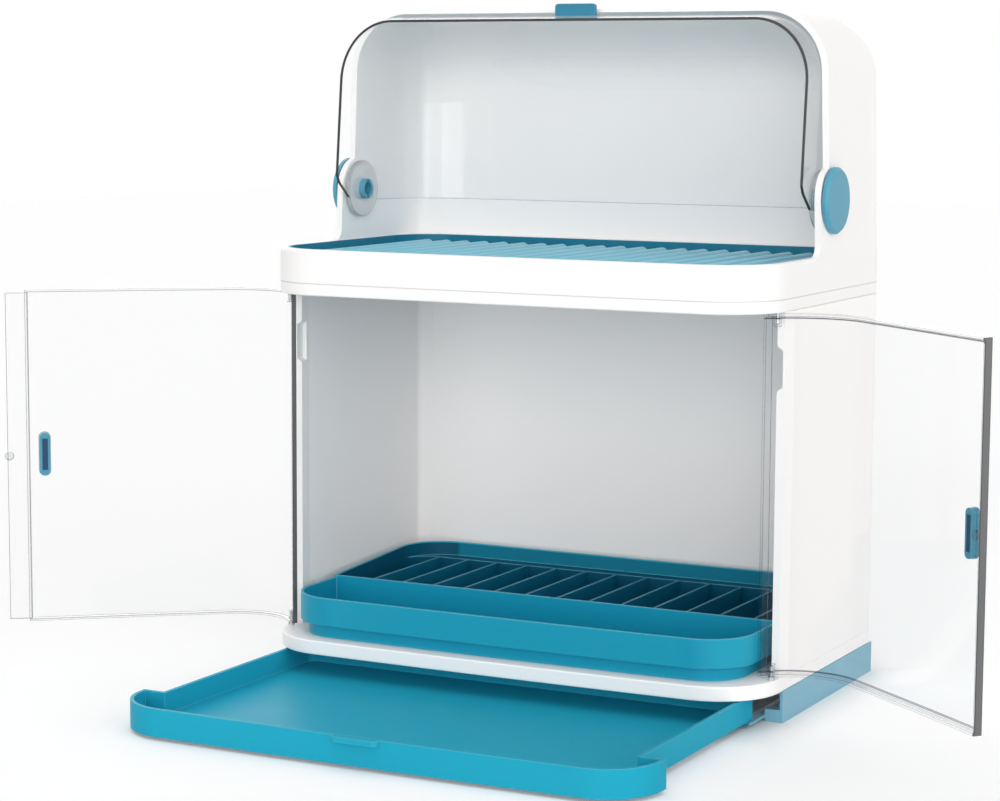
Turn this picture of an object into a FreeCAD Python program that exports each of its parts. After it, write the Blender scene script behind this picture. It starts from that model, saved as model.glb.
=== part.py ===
import FreeCAD, Part
import math
import os

import Sketcher
from FreeCAD import Placement, Rotation, Vector

# Covered dish drying rack: a white cabinet on two rails with clear doors, a lower rack and a drip tray,
# and on it a housing with an upper rack, a hood and a clear visor that turns about two pivots.
# Millimetres. X runs to the right, Y to the back and Z up. The origin lies on the floor under the
# middle of the cabinet. Doors, visor and drip tray are placed open, as the rack is shown in use.

# Driving dimensions

SIZES = (
    ("cab_width", 450.0, "width over the cabinet"),
    ("cab_depth", 278.0, "depth over the cabinet"),
    ("corner_radius", 55.0, "front corners of the deck, the top and the housing"),
    ("back_radius", 10.0, "back corners"),
    ("front_bow", 2.0, "how far the front bulges in its middle"),
    ("edge_round", 1.5, "rounding of moulded edges"),
    ("rail_height", 26.0, "floor to the underside of the base deck"),
    ("deck_thick", 12.0, "base deck"),
    ("deck_skin", 3.0, "top skin and skirt of the base deck"),
    ("wall_rise", 289.5, "height of the side walls and the back panel"),
    ("wall_thick", 6.0, "side walls"),
    ("wall_front", 61.5, "front end of the side walls, from the front plane"),
    ("wall_taper_from", 77.0, "where the side walls start to bend inwards, from the front plane"),
    ("wall_taper", 2.4, "how far the front end of a side wall bends inwards"),
    ("return_leg", 20.0, "return of a side wall along the back, from the outer face"),
    ("pocket_low", 265.0, "lower end of the pocket in a side wall's front end, from the floor"),
    ("pocket_tall", 35.0, "height of that pocket"),
    ("pocket_deep", 10.0, "depth of that pocket along the wall"),
    ("pocket_bevel", 3.0, "slanted ends of that pocket"),
    ("pocket_skin", 1.2, "skin left outside that pocket"),
    ("tongue_thick", 2.0, "tongue of the back panel"),
    ("tongue_wide", 4.0, "width of that tongue"),
    ("top_thick", 10.0, "cabinet top"),
    ("top_rim", 14.0, "solid rim of the cabinet top"),
    ("top_skin", 3.0, "skin of the cabinet top"),
    ("drain_wide", 380.0, "drain opening in the cabinet top and the housing floor, across"),
    ("drain_deep", 190.0, "the same, front to back"),
    ("drain_radius", 20.0, "corners of the drain opening"),
    ("drain_slot_wide", 10.0, "drain slots in the base deck"),
    ("drain_slot_long", 150.0, "length of those slots"),
    ("drain_slot_pitch", 46.0, "pitch of those slots"),
    ("lip_rise", 2.5, "locating ring on the cabinet top"),
    ("lip_thick", 2.5, "thickness of that ring"),
    ("seat_gap", 0.4, "clearance round a piece that drops into its seat"),
    ("housing_rise", 28.1, "seam of the housing to the rim of the upper deck"),
    ("housing_rim", 6.0, "wall round the upper deck"),
    ("housing_floor", 3.0, "floor of the upper deck"),
    ("housing_cavity", 7.5, "hollow below that floor"),
    ("housing_round", 3.0, "rounding of the upper deck's top edge"),
    ("hood_rise", 198.4, "rim of the upper deck to the top of the hood"),
    ("hood_front", 153.0, "front edge of the hood, from the front plane"),
    ("hood_lean", 5.9, "how much narrower the hood is at its top, each side"),
    ("hood_corner", 52.0, "side corners of the hood's top"),
    ("hood_back_round", 56.0, "rounding of the hood's top into its back"),
    ("hood_side_round", 12.0, "rounding of the hood's sides into its back"),
    ("hood_wall", 2.4, "top and back wall of the hood"),
    ("hood_side_wall", 5.4, "side walls of the hood and the arms"),
    ("pivot_back", 160.0, "pivot axis, from the front plane"),
    ("pivot_rise", 44.4, "pivot axis above the rim of the upper deck"),
    ("arm_radius", 26.9, "front of the arms round the pivot"),
    ("arm_root", 10.0, "hollow rounding of the arms into the deck"),
    ("upper_rack_back", 16.0, "back of the upper rack, from the cabinet's back"),
    ("upper_rack_rise", 17.6, "height of the upper rack"),
    ("upper_rack_wall", 2.0, "rim wall of the upper rack"),
    ("upper_rack_radius", 40.0, "back corners of the upper rack"),
    ("slat_drop", 8.3, "slat tops below the upper rack's rim"),
    ("slat_thick", 3.5, "depth of the slats"),
    ("slat_pitch", 19.35, "pitch of the slats"),
    ("slat_gap", 7.6, "width of the slots between the slats"),
    ("slat_front", 24.0, "front end of those slots, from the front plane"),
    ("slat_back", 13.0, "back end of those slots, from the upper rack's back"),
    ("visor_side", 10.4, "outer face of the visor's cheeks, from the cabinet's side"),
    ("visor_reach", 149.5, "pivot axis to the outer face of the visor's roof"),
    ("visor_thick", 2.0, "visor wall"),
    ("visor_corner", 48.0, "side corners of the visor"),
    ("visor_bend", 60.0, "bend of the visor's roof into its back"),
    ("visor_back", 8.0, "outer face of the visor's back, from the cabinet's back"),
    ("visor_drop", 12.0, "lower edge of the visor's back below the pivot axis"),
    ("visor_lip", 32.4, "top of the visor's free edge in front of the pivot axis"),
    ("visor_toe", 45.0, "bottom of the visor's free edge in front of the pivot axis"),
    ("visor_toe_rise", 13.0, "bottom of the visor's free edge above the pivot axis"),
    ("disc_radius", 24.5, "pivot disc of the visor"),
    ("disc_boss", 2.2, "how far the pivot disc stands outside the cheek"),
    ("knob_radius", 26.9, "pivot knob"),
    ("knob_thick", 4.9, "pivot knob"),
    ("knob_bevel", 2.0, "bevel of the pivot knob"),
    ("knob_gap", 0.3, "inner face of the pivot knob short of the cabinet's side"),
    ("hub_radius", 9.7, "hub of the pivot knob"),
    ("sleeve_radius", 8.8, "hollow pivot pin"),
    ("sleeve_bore", 6.0, "bore of the pivot pin"),
    ("sleeve_inward", 4.6, "how far the pivot pin stands inside the visor"),
    ("sleeve_slot", 3.4, "slots in the end of the pivot pin"),
    ("running_fit", 0.06, "radial clearance of pins and hubs"),
    ("tab_wide", 37.0, "visor handle, across"),
    ("tab_rise", 11.0, "visor handle above the visor"),
    ("tab_thick", 3.6, "visor handle"),
    ("tab_back", 16.0, "visor handle behind the visor's free edge"),
    ("tab_foot", 9.0, "foot of the visor handle along the visor"),
    ("tab_foot_thick", 1.8, "thickness of that foot"),
    ("tab_round", 3.0, "corners of the visor handle"),
    ("door_gap", 3.0, "base deck to the lower edge of a door"),
    ("door_top_gap", 0.5, "upper edge of a door to the cabinet top"),
    ("door_inset", 0.5, "outer face of a door behind the outline"),
    ("door_thick", 2.4, "door"),
    ("door_flange", 7.0, "flange along the top and bottom edge of a door"),
    ("door_flange_thick", 2.2, "thickness of the flanges of a door"),
    ("door_meeting", 0.6, "free edge of a door to the middle"),
    ("door_stile", 3.6, "thickness of a door along its hinge edge"),
    ("door_stile_wide", 6.0, "width of that thicker edge"),
    ("door_end", 60.3, "hinge edge of a closed door, from the front plane"),
    ("hinge_side", 4.0, "hinge axis, from the cabinet's side"),
    ("hinge_back", 50.0, "hinge axis, from the front plane"),
    ("door_open", 140.0, "how far the doors are open, degrees"),
    ("pin_radius", 1.5, "door hinge pins"),
    ("pin_bite", 8.0, "how far a hinge pin goes into a door"),
    ("pin_seat", 6.0, "how far a hinge pin goes into the deck or the top"),
    ("knuckle_radius", 2.8, "hinge knuckles of a door"),
    ("pull_from_edge", 15.0, "door pull, from the free edge"),
    ("pull_wide", 9.0, "door pull, across"),
    ("pull_tall", 37.0, "door pull, height"),
    ("pull_proud", 1.0, "door pull outside the door"),
    ("pull_inside", 3.5, "door pull inside the door"),
    ("pull_wall", 1.6, "wall round the recess of a door pull"),
    ("catch_radius", 3.8, "door catch"),
    ("catch_long", 3.4, "door catch, length"),
    ("catch_from_edge", 7.0, "catch of the right door, from the middle"),
    ("strip_reach", 16.0, "sealing strip of the left door, past the middle"),
    ("strip_thick", 1.6, "thickness of that strip"),
    ("strip_catch", 14.5, "catch on that strip, from the middle"),
    ("door_mid", 185.5, "height of the door pulls and catches, from the floor"),
    ("rack_side", 19.0, "sides of the lower rack, from the cabinet's sides"),
    ("rack_front", 9.0, "front of the lower rack, from the front plane"),
    ("rack_back", 22.0, "back of the lower rack, from the cabinet's back"),
    ("rack_radius", 42.0, "corners of the lower rack"),
    ("rack_wall", 2.2, "walls of the lower rack"),
    ("rack_step_radius", 24.0, "back corners inside the lower rack, below the step"),
    ("rack_foot", 10.8, "height of the lower rack's foot"),
    ("rack_foot_inset", 7.0, "inset of that foot"),
    ("rack_drain_wide", 8.0, "drain slots in the lower rack"),
    ("rack_floor", 2.4, "floor of the lower rack"),
    ("trough_rim", 73.0, "rim of the front trough, from the floor"),
    ("rack_rim", 83.0, "back rim of the lower rack, from the floor"),
    ("cross_wall", 97.0, "wall between trough and dividers, from the front plane"),
    ("cross_rim", 75.0, "top of that wall, from the floor"),
    ("divider_top", 70.5, "top of the dividers, from the floor"),
    ("divider_back", 16.5, "back end of the dividers, from the rack's back"),
    ("divider_thick", 1.8, "dividers"),
    ("divider_pitch", 29.8, "pitch of the dividers"),
    ("trough_rib", 1.8, "small ribs in the trough"),
    ("trough_rib_deep", 4.0, "depth of those ribs"),
    ("trough_rib_pitch", 48.0, "pitch of those ribs"),
    ("rail_wall", 3.0, "outer wall of the rails"),
    ("rail_front", 66.8, "front end of the rails, from the front plane"),
    ("rail_screw_end", 24.0, "end screws of the rails, from the cabinet's back"),
    ("rail_foot", 15.7, "width of the foot of the rails"),
    ("rail_foot_tall", 10.0, "height of that foot"),
    ("rail_ledge", 10.3, "width of the ledge that carries the drip tray"),
    ("rail_ledge_low", 2.5, "underside of that ledge, from the floor"),
    ("rail_ledge_thick", 2.3, "thickness of that ledge"),
    ("rail_ledge_front", 35.0, "front end of that ledge, from the front plane"),
    ("rail_flange", 3.0, "top flange of the rails"),
    ("tray_side", 18.5, "sides of the drip tray between the rails, from the cabinet's sides"),
    ("tray_top", 25.0, "rim of the drip tray, from the floor"),
    ("tray_low", 3.0, "lower edge of the drip tray's front, from the floor"),
    ("tray_wall", 3.0, "walls of the drip tray"),
    ("tray_floor", 2.5, "floor of the drip tray"),
    ("tray_gap", 0.3, "drip tray above the ledge"),
    ("tray_ear", 53.0, "length of the wide front of the drip tray"),
    ("tray_round", 46.0, "front corners of the drip tray"),
    ("tray_back", 5.0, "back of the closed drip tray, from the cabinet's back"),
    ("tray_out", 217.0, "how far the drip tray is pulled out"),
    ("lip_wide", 40.0, "finger lip of the drip tray, across"),
    ("lip_out", 6.0, "how far that lip stands out"),
    ("lip_tall", 4.0, "thickness of that lip"),
    ("screw_radius", 1.4, "screws"),
    ("screw_head", 2.2, "heads of the screws"),
    ("screw_head_tall", 2.2, "height of those heads"),
    ("screw_inset", 4.0, "wall screws, from the cabinet's side"),
    ("screw_bite", 12.0, "how far a screw goes into a wall"),
    ("screw_boss", 4.0, "bosses for the screws"),
)

RACK_DIVIDERS = 13
UPPER_SLOTS = 20
TROUGH_RIBS = 7
DRAIN_SLOTS = 7

document = FreeCAD.newDocument("drying_rack")
sheet = document.addObject("Spreadsheet::Sheet", "sizes")
for row, (name, value, note) in enumerate(SIZES, start=1):
    sheet.set(f"A{row}", name)
    sheet.set(f"B{row}", str(value))
    sheet.set(f"C{row}", note)
    sheet.setAlias(f"B{row}", name)
document.recompute()


# Sizes that know the cells they come from

class Size:
    """A number together with the expression over the sheet that gives it."""

    def __init__(self, number, text):
        self.number = number
        self.text = text

    def __add__(self, other):
        return Size(self.number + number_of(other), f"({self.text} + {text_of(other)})")

    def __sub__(self, other):
        return Size(self.number - number_of(other), f"({self.text} - {text_of(other)})")

    def __mul__(self, other):
        return Size(self.number * number_of(other), f"({self.text} * {text_of(other)})")

    def __truediv__(self, other):
        return Size(self.number / number_of(other), f"({self.text} / {text_of(other)})")

    def __neg__(self):
        return Size(-self.number, f"(-1 * {self.text})")


def number_of(value):
    return value.number if isinstance(value, Size) else float(value)


def text_of(value):
    return value.text if isinstance(value, Size) else f"({float(value)})"


def cell(alias):
    """The size held by one cell of the sheet."""
    return Size(float(sheet.get(alias)), f"sizes.{alias}")


def bind(thing, prop, value):
    """Ties a property of an object to the sheet."""
    thing.setExpression(prop, text_of(value))


# Sketches, pads and primitives

def new_body(label):
    body = document.addObject("PartDesign::Body", label)
    body.Label = label
    return body


def new_sketch(body, name, role, offset=0.0):
    """A sketch on one of the body's origin planes, moved along the plane's normal."""
    sketch = body.newObject("Sketcher::SketchObject", name)
    plane = [feature for feature in body.Origin.OriginFeatures if feature.Role == role][0]
    sketch.AttachmentSupport = [(plane, "")]
    sketch.MapMode = "FlatFace"
    sketch.AttachmentOffset = Placement(Vector(0, 0, number_of(offset)), Rotation())
    bind(sketch, "AttachmentOffset.Base.z", offset)
    return sketch


def dimension(sketch, kind, first, second, value):
    """A driving constraint between two points, given from the lesser to the greater coordinate."""
    if number_of(value) < 0:
        first, second = second, first
        value = Size(-number_of(value), f"(-1 * {text_of(value)})")
    index = sketch.addConstraint(Sketcher.Constraint(kind, *first, *second, number_of(value)))
    bind(sketch, f"Constraints[{index}]", value)


def bound_radius(sketch, geometry, radius):
    index = sketch.addConstraint(Sketcher.Constraint("Radius", geometry, number_of(radius)))
    bind(sketch, f"Constraints[{index}]", radius)


ORIGIN_POINT = (-1, 1)


def circle(sketch, across, up, radius):
    centre = Vector(number_of(across), number_of(up), 0)
    ring = sketch.addGeometry(Part.Circle(centre, Vector(0, 0, 1), number_of(radius)), False)
    dimension(sketch, "DistanceX", ORIGIN_POINT, (ring, 3), across)
    dimension(sketch, "DistanceY", ORIGIN_POINT, (ring, 3), up)
    bound_radius(sketch, ring, radius)


def direction(start, end):
    span = end - start
    if abs(span.x) < 1e-9:
        return "upright"
    return "level" if abs(span.y) < 1e-9 else "slanted"


def bow_radius(half_chord, bow):
    return (half_chord * half_chord + bow * bow) / (bow * 2)


def closed_profile(sketch, corners, bow=None):
    """A closed chain of lines through corners (across, up, radius or None).

    Only corners between level and upright lines are rounded. With a bow, the first line is an arc
    that bulges by that height and meets its two rounded corners smoothly.
    """
    count = len(corners)
    points = [Vector(number_of(across), number_of(up), 0) for across, up, _ in corners]
    radii = [0.0 if radius is None else number_of(radius) for _, _, radius in corners]
    headings = [(points[(i + 1) % count] - points[i]).normalize() for i in range(count)]
    kinds = [direction(points[i], points[(i + 1) % count]) for i in range(count)]
    leave = [points[i] + headings[i] * radii[i] for i in range(count)]
    arrive = [points[i] - headings[i - 1] * radii[i] for i in range(count)]
    centres = [arrive[i] + headings[i] * radii[i] for i in range(count)]

    bow_size = None
    if bow is not None:
        half_chord = corners[1][0] - corners[1][2]
        bow_size = bow_radius(half_chord, bow)
        bow_centre = Vector(0, points[0].y + bow_size.number, 0)
        reach = math.sqrt((bow_size.number - radii[1]) ** 2 - half_chord.number ** 2)
        for i, sign in ((0, -1), (1, 1)):
            centres[i] = Vector(sign * half_chord.number, bow_centre.y - reach, 0)
            outward = (centres[i] - bow_centre).normalize()
            touch = bow_centre + outward * bow_size.number
            side = Vector(sign * (half_chord.number + radii[i]), centres[i].y, 0)
            if i == 0:
                arrive[i], leave[i] = side, touch
            else:
                arrive[i], leave[i] = touch, side

    lines = []
    for i in range(count):
        start, end = leave[i], arrive[(i + 1) % count]
        if i == 0 and bow is not None:
            angles = [math.atan2(point.y - bow_centre.y, point.x) for point in (start, end)]
            arc = Part.Circle(bow_centre, Vector(0, 0, 1), bow_size.number)
            curve = Part.ArcOfCircle(arc, angles[0], angles[1])
        else:
            curve = Part.LineSegment(start, end)
        lines.append(sketch.addGeometry(curve, False))

    for i in range(count):
        before, after = lines[i - 1], lines[i]
        if not radii[i]:
            sketch.addConstraint(Sketcher.Constraint("Coincident", before, 2, after, 1))
            continue
        left_turn = headings[i - 1].cross(headings[i]).z > 0
        first, last = (arrive[i], leave[i]) if left_turn else (leave[i], arrive[i])
        angles = [math.atan2(point.y - centres[i].y, point.x - centres[i].x) for point in (first, last)]
        if angles[1] < angles[0]:
            angles[1] += 2 * math.pi
        ring = Part.Circle(centres[i], Vector(0, 0, 1), radii[i])
        arc = sketch.addGeometry(Part.ArcOfCircle(ring, angles[0], angles[1]), False)
        entry, out = (1, 2) if left_turn else (2, 1)
        sketch.addConstraint(Sketcher.Constraint("Tangent", before, 2, arc, entry))
        sketch.addConstraint(Sketcher.Constraint("Tangent", arc, out, after, 1))
        bound_radius(sketch, arc, corners[i][2])

    for i, line in enumerate(lines):
        if i == 0 and bow is not None:
            sketch.addConstraint(Sketcher.Constraint("PointOnObject", line, 3, -2))
            bound_radius(sketch, line, bow_size)
            dimension(sketch, "DistanceY", ORIGIN_POINT, (line, 3), corners[0][1] + bow_size)
        elif kinds[i] == "upright":
            sketch.addConstraint(Sketcher.Constraint("Vertical", line))
            dimension(sketch, "DistanceX", ORIGIN_POINT, (line, 1), corners[i][0])
        elif kinds[i] == "level":
            sketch.addConstraint(Sketcher.Constraint("Horizontal", line))
            dimension(sketch, "DistanceY", ORIGIN_POINT, (line, 1), corners[i][1])
    for i, line in enumerate(lines):
        if "slanted" not in (kinds[i - 1], kinds[i]):
            continue
        if "upright" not in (kinds[i - 1], kinds[i]):
            dimension(sketch, "DistanceX", ORIGIN_POINT, (line, 1), corners[i][0])
        if "level" not in (kinds[i - 1], kinds[i]):
            dimension(sketch, "DistanceY", ORIGIN_POINT, (line, 1), corners[i][1])


def rectangle(sketch, left, right, low, high, radius=None):
    closed_profile(sketch, ((left, low, radius), (right, low, radius),
                            (right, high, radius), (left, high, radius)))


def pad(sketch, length, upwards=True, both=False):
    """Grows a profile along its plane's normal, against it, or evenly to both sides."""
    body = sketch.getParentGeoFeatureGroup()
    feature = body.newObject("PartDesign::Pad", sketch.Name + "_pad")
    feature.Profile = sketch
    feature.Length = number_of(length)
    bind(feature, "Length", length)
    feature.Reversed = not upwards
    feature.Midplane = both
    document.recompute()
    return feature


def pocket(sketch, length, upwards=False, both=False):
    """Cuts a profile out along its plane's normal, against it, or evenly to both sides."""
    body = sketch.getParentGeoFeatureGroup()
    volume = body.Shape.Volume
    feature = body.newObject("PartDesign::Pocket", sketch.Name + "_pocket")
    feature.Profile = sketch
    feature.Length = number_of(length)
    bind(feature, "Length", length)
    feature.Reversed = upwards
    feature.Midplane = both
    document.recompute()
    if not body.Shape.Volume < volume:
        raise RuntimeError(f"{feature.Name} cuts nothing")
    return feature


def fillet(body, name, radius, chosen, kind="PartDesign::Fillet"):
    """Rounds, or bevels, every edge of the body's last feature that the function chooses."""
    base = body.Tip
    names = [f"Edge{i}" for i, edge in enumerate(base.Shape.Edges, start=1) if chosen(edge)]
    if not names:
        raise RuntimeError(f"{name} finds no edge")
    feature = body.newObject(kind, name)
    feature.Base = (base, names)
    prop = "Radius" if kind == "PartDesign::Fillet" else "Size"
    setattr(feature, prop, number_of(radius))
    bind(feature, prop, radius)
    document.recompute()
    return feature


def is_at(edge, axis, value, slack=1e-4):
    """Whether the whole edge lies at one coordinate."""
    low = getattr(edge.BoundBox, axis + "Min")
    high = getattr(edge.BoundBox, axis + "Max")
    return abs(low - number_of(value)) < slack and abs(high - number_of(value)) < slack


def runs_along(edge, axis):
    spans = {name: getattr(edge.BoundBox, name + "Length") for name in "XYZ"}
    return spans[axis] > 1e-3 and all(spans[name] < 1e-4 for name in "XYZ" if name != axis)


def place(thing, across, back, up):
    """Moves a primitive, with each coordinate tied to the sheet."""
    for axis, value in (("x", across), ("y", back), ("z", up)):
        setattr(thing.Placement.Base, axis, number_of(value))
        bind(thing, f"Placement.Base.{axis}", value)


def box(name, across, back, up):
    """A box between pairs of coordinates."""
    block = document.addObject("Part::Box", name)
    for prop, (low, high) in (("Length", across), ("Width", back), ("Height", up)):
        setattr(block, prop, number_of(high - low))
        bind(block, prop, high - low)
    place(block, across[0], back[0], up[0])
    return block


def cylinder(name, centre, radius, length, along="Z"):
    """A cylinder from its centre point, along +X or +Z."""
    rod = document.addObject("Part::Cylinder", name)
    rod.Radius = number_of(radius)
    rod.Height = number_of(length)
    bind(rod, "Radius", radius)
    bind(rod, "Height", length)
    if along == "X":
        rod.Placement = Placement(Vector(), Rotation(Vector(0, 0, 1), Vector(1, 0, 0)))
    place(rod, *centre)
    return rod


def fuse(name, shapes):
    union = document.addObject("Part::MultiFuse", name)
    union.Label = name
    union.Shapes = shapes
    document.recompute()
    return union


def cut(name, base, tool):
    rest = document.addObject("Part::Cut", name)
    rest.Label = name
    rest.Base = base
    rest.Tool = tool
    document.recompute()
    return rest


def mirrored(name, source):
    """The same piece on the left side."""
    twin = document.addObject("Part::Mirroring", name)
    twin.Label = name
    twin.Source = source
    twin.Normal = Vector(1, 0, 0)
    twin.Base = Vector(0, 0, 0)
    document.recompute()
    return twin


subparts = []


def subpart(thing):
    subparts.append(thing)
    return thing


def with_mirror_twin(thing, twin_label):
    """Keeps a right-hand piece and its left-hand twin."""
    subpart(thing)
    return subpart(mirrored(twin_label, thing))


# Levels and planes that several pieces share

half_width = cell("cab_width") / 2
half_depth = cell("cab_depth") / 2
front_plane = -half_depth
deck_top = cell("rail_height") + cell("deck_thick")
wall_top = deck_top + cell("wall_rise")
seam = wall_top + cell("top_thick")
rim_top = seam + cell("housing_rise")
hood_top = rim_top + cell("hood_rise")
pivot_y = front_plane + cell("pivot_back")
pivot_z = rim_top + cell("pivot_rise")
hinge_y = front_plane + cell("hinge_back")


def outline(sketch, inset, back=None, back_radius=None):
    """The cabinet's plan outline with its bowed front, drawn in by an inset."""
    side = half_width - inset
    front = front_plane + inset
    front_round = cell("corner_radius") - inset
    back = half_depth - inset if back is None else back
    back_round = cell("back_radius") - inset if back_radius is None else back_radius
    if back_round.number < 0.5:
        back_round = None
    closed_profile(sketch, ((-side, front, front_round), (side, front, front_round),
                            (side, back, back_round), (-side, back, back_round)),
                   cell("front_bow"))


def nothing():
    return Size(0.0, "0")


# Base deck: a moulded plate with a skirt, ribs, screw bosses and drain slots over the drip tray

base_deck = new_body("base_deck")
sketch = new_sketch(base_deck, "deck_outline", "XY_Plane", cell("rail_height"))
outline(sketch, nothing())
pad(sketch, cell("deck_thick"))
fillet(base_deck, "deck_edges", cell("edge_round"),
       lambda edge: is_at(edge, "Z", deck_top) or is_at(edge, "Z", cell("rail_height")))
sketch = new_sketch(base_deck, "deck_hollow", "XY_Plane", cell("rail_height"))
outline(sketch, cell("deck_skin"))
pocket(sketch, cell("deck_thick") - cell("deck_skin"), upwards=True)

screw_x = half_width - cell("screw_inset")
screw_ys = (front_plane + cell("wall_taper_from") + 20, half_depth - cell("wall_taper_from"))
hinge_x = half_width - cell("hinge_side")
rail_screw_x = half_width - cell("rail_foot") / 2 - 1.2
rail_screw_ys = (front_plane + cell("rail_front") + 14, half_depth * 0.2, half_depth - cell("rail_screw_end"))

sketch = new_sketch(base_deck, "deck_bosses", "XY_Plane", cell("rail_height"))
for side in (1, -1):
    for y in screw_ys:
        circle(sketch, (screw_x - 2) * side, y, cell("screw_boss"))
    for y in rail_screw_ys:
        circle(sketch, rail_screw_x * side, y, cell("screw_boss"))
    circle(sketch, (hinge_x - 2.5) * side, hinge_y, cell("screw_boss"))
pad(sketch, cell("deck_thick") - cell("deck_skin") / 2)

sketch = new_sketch(base_deck, "deck_drains", "XY_Plane", deck_top)
for i in range(DRAIN_SLOTS):
    middle = cell("drain_slot_pitch") * (i - (DRAIN_SLOTS - 1) / 2)
    rectangle(sketch, middle - cell("drain_slot_wide") / 2, middle + cell("drain_slot_wide") / 2,
              -cell("drain_slot_long") / 2, cell("drain_slot_long") / 2)
pocket(sketch, cell("deck_thick"))

sketch = new_sketch(base_deck, "deck_pin_holes", "XY_Plane", deck_top)
for side in (1, -1):
    circle(sketch, hinge_x * side, hinge_y, cell("pin_radius") + cell("running_fit"))
pocket(sketch, cell("pin_seat") + 1)

sketch = new_sketch(base_deck, "deck_screw_holes", "XY_Plane", cell("rail_height"))
for side in (1, -1):
    for y in screw_ys:
        circle(sketch, screw_x * side, y, cell("screw_radius") + cell("running_fit"))
pocket(sketch, cell("deck_thick") + 1, upwards=True)

sketch = new_sketch(base_deck, "deck_rail_screw_holes", "XY_Plane", cell("rail_height"))
for side in (1, -1):
    for y in rail_screw_ys:
        circle(sketch, rail_screw_x * side, y, cell("screw_radius") + cell("running_fit"))
pocket(sketch, cell("deck_thick") - cell("deck_skin") / 2, upwards=True)

sketch = new_sketch(base_deck, "deck_screw_seats", "XY_Plane", cell("rail_height"))
for side in (1, -1):
    for y in screw_ys:
        circle(sketch, screw_x * side, y, cell("screw_head") + cell("seat_gap") / 4)
pocket(sketch, cell("screw_head_tall") + cell("seat_gap"), upwards=True)
subpart(base_deck)


# Side walls: upright panels that bend inwards at the front and return round the rear corner

def side_wall():
    wall = new_body("side_wall_right")
    outer = half_width
    inner = half_width - cell("wall_thick")
    front = front_plane + cell("wall_front")
    bend = front_plane + cell("wall_taper_from")
    back = half_depth
    leg = half_width - cell("return_leg")
    groove_half = cell("tongue_thick") / 2 + cell("seat_gap") / 4
    groove_y = half_depth - cell("wall_thick") / 2
    groove_x = leg + cell("tongue_wide") + cell("seat_gap") / 2
    sketch = new_sketch(wall, "wall_plan", "XY_Plane", deck_top)
    closed_profile(sketch, (
        (inner - cell("wall_taper"), front, None), (outer - cell("wall_taper"), front, None),
        (outer, bend, None), (outer, back, cell("back_radius")), (leg, back, None),
        (leg, groove_y + groove_half, None), (groove_x, groove_y + groove_half, None),
        (groove_x, groove_y - groove_half, None), (leg, groove_y - groove_half, None),
        (leg, back - cell("wall_thick"), None),
        (inner, back - cell("wall_thick"), cell("back_radius") - cell("wall_thick")), (inner, bend, None)))
    pad(sketch, cell("wall_rise"))
    pocket_inner = inner - cell("wall_taper") - 1
    pocket_outer = outer - cell("wall_taper") - cell("pocket_skin")
    low = cell("pocket_low")
    high = cell("pocket_low") + cell("pocket_tall")
    bevel = cell("pocket_bevel")
    sketch = new_sketch(wall, "front_pocket", "XZ_Plane", -front)
    closed_profile(sketch, ((pocket_inner, low - bevel / 3, None), (pocket_outer, low + bevel, None),
                            (pocket_outer, high - bevel, None), (pocket_inner, high + bevel / 3, None)))
    pocket(sketch, cell("pocket_deep"))
    holes = ((deck_top, True), (wall_top, False))
    for number, (level, upwards) in enumerate(holes):
        sketch = new_sketch(wall, f"wall_screw_holes_{number}", "XY_Plane", level)
        for y in screw_ys:
            circle(sketch, screw_x, y, cell("screw_radius") + cell("running_fit"))
        pocket(sketch, cell("screw_bite") + 1, upwards=upwards)
    return wall


with_mirror_twin(side_wall(), "side_wall_left")


# Back panel: a flat panel with a tongue in each side wall's return

back_panel = new_body("back_panel")
panel_half = half_width - cell("return_leg") - cell("seat_gap") / 4
tongue_half = panel_half + cell("tongue_wide")
tongue_low = half_depth - cell("wall_thick") / 2 - cell("tongue_thick") / 2
tongue_high = tongue_low + cell("tongue_thick")
sketch = new_sketch(back_panel, "panel_plan", "XY_Plane", deck_top)
closed_profile(sketch, (
    (-panel_half, half_depth - cell("wall_thick"), None), (panel_half, half_depth - cell("wall_thick"), None),
    (panel_half, tongue_low, None), (tongue_half, tongue_low, None), (tongue_half, tongue_high, None),
    (panel_half, tongue_high, None), (panel_half, half_depth, None), (-panel_half, half_depth, None),
    (-panel_half, tongue_high, None), (-tongue_half, tongue_high, None), (-tongue_half, tongue_low, None),
    (-panel_half, tongue_low, None)))
pad(sketch, cell("wall_rise"))
subpart(back_panel)


# Cabinet top: closes the walls, carries the upper ends of the doors and has a locating ring

cabinet_top = new_body("cabinet_top")
sketch = new_sketch(cabinet_top, "top_outline", "XY_Plane", wall_top)
outline(sketch, nothing())
pad(sketch, cell("top_thick"))
fillet(cabinet_top, "top_edges", cell("edge_round"), lambda edge: is_at(edge, "Z", wall_top))
ring_inset = cell("housing_rim") + cell("seat_gap")
sketch = new_sketch(cabinet_top, "ring_outline", "XY_Plane", seam)
outline(sketch, ring_inset)
pad(sketch, cell("lip_rise"))
sketch = new_sketch(cabinet_top, "ring_inside", "XY_Plane", seam + cell("lip_rise"))
outline(sketch, ring_inset + cell("lip_thick"))
pocket(sketch, cell("lip_rise"))
sketch = new_sketch(cabinet_top, "top_hollow", "XY_Plane", wall_top)
outline(sketch, cell("top_rim"), back_radius=cell("back_radius"))
pocket(sketch, cell("top_thick") - cell("top_skin"), upwards=True)


def drain_opening(body, level, length):
    sketch = new_sketch(body, "drain_opening", "XY_Plane", level)
    rectangle(sketch, -cell("drain_wide") / 2, cell("drain_wide") / 2, -cell("drain_deep") / 2,
              cell("drain_deep") / 2, cell("drain_radius"))
    return pocket(sketch, length)


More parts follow.
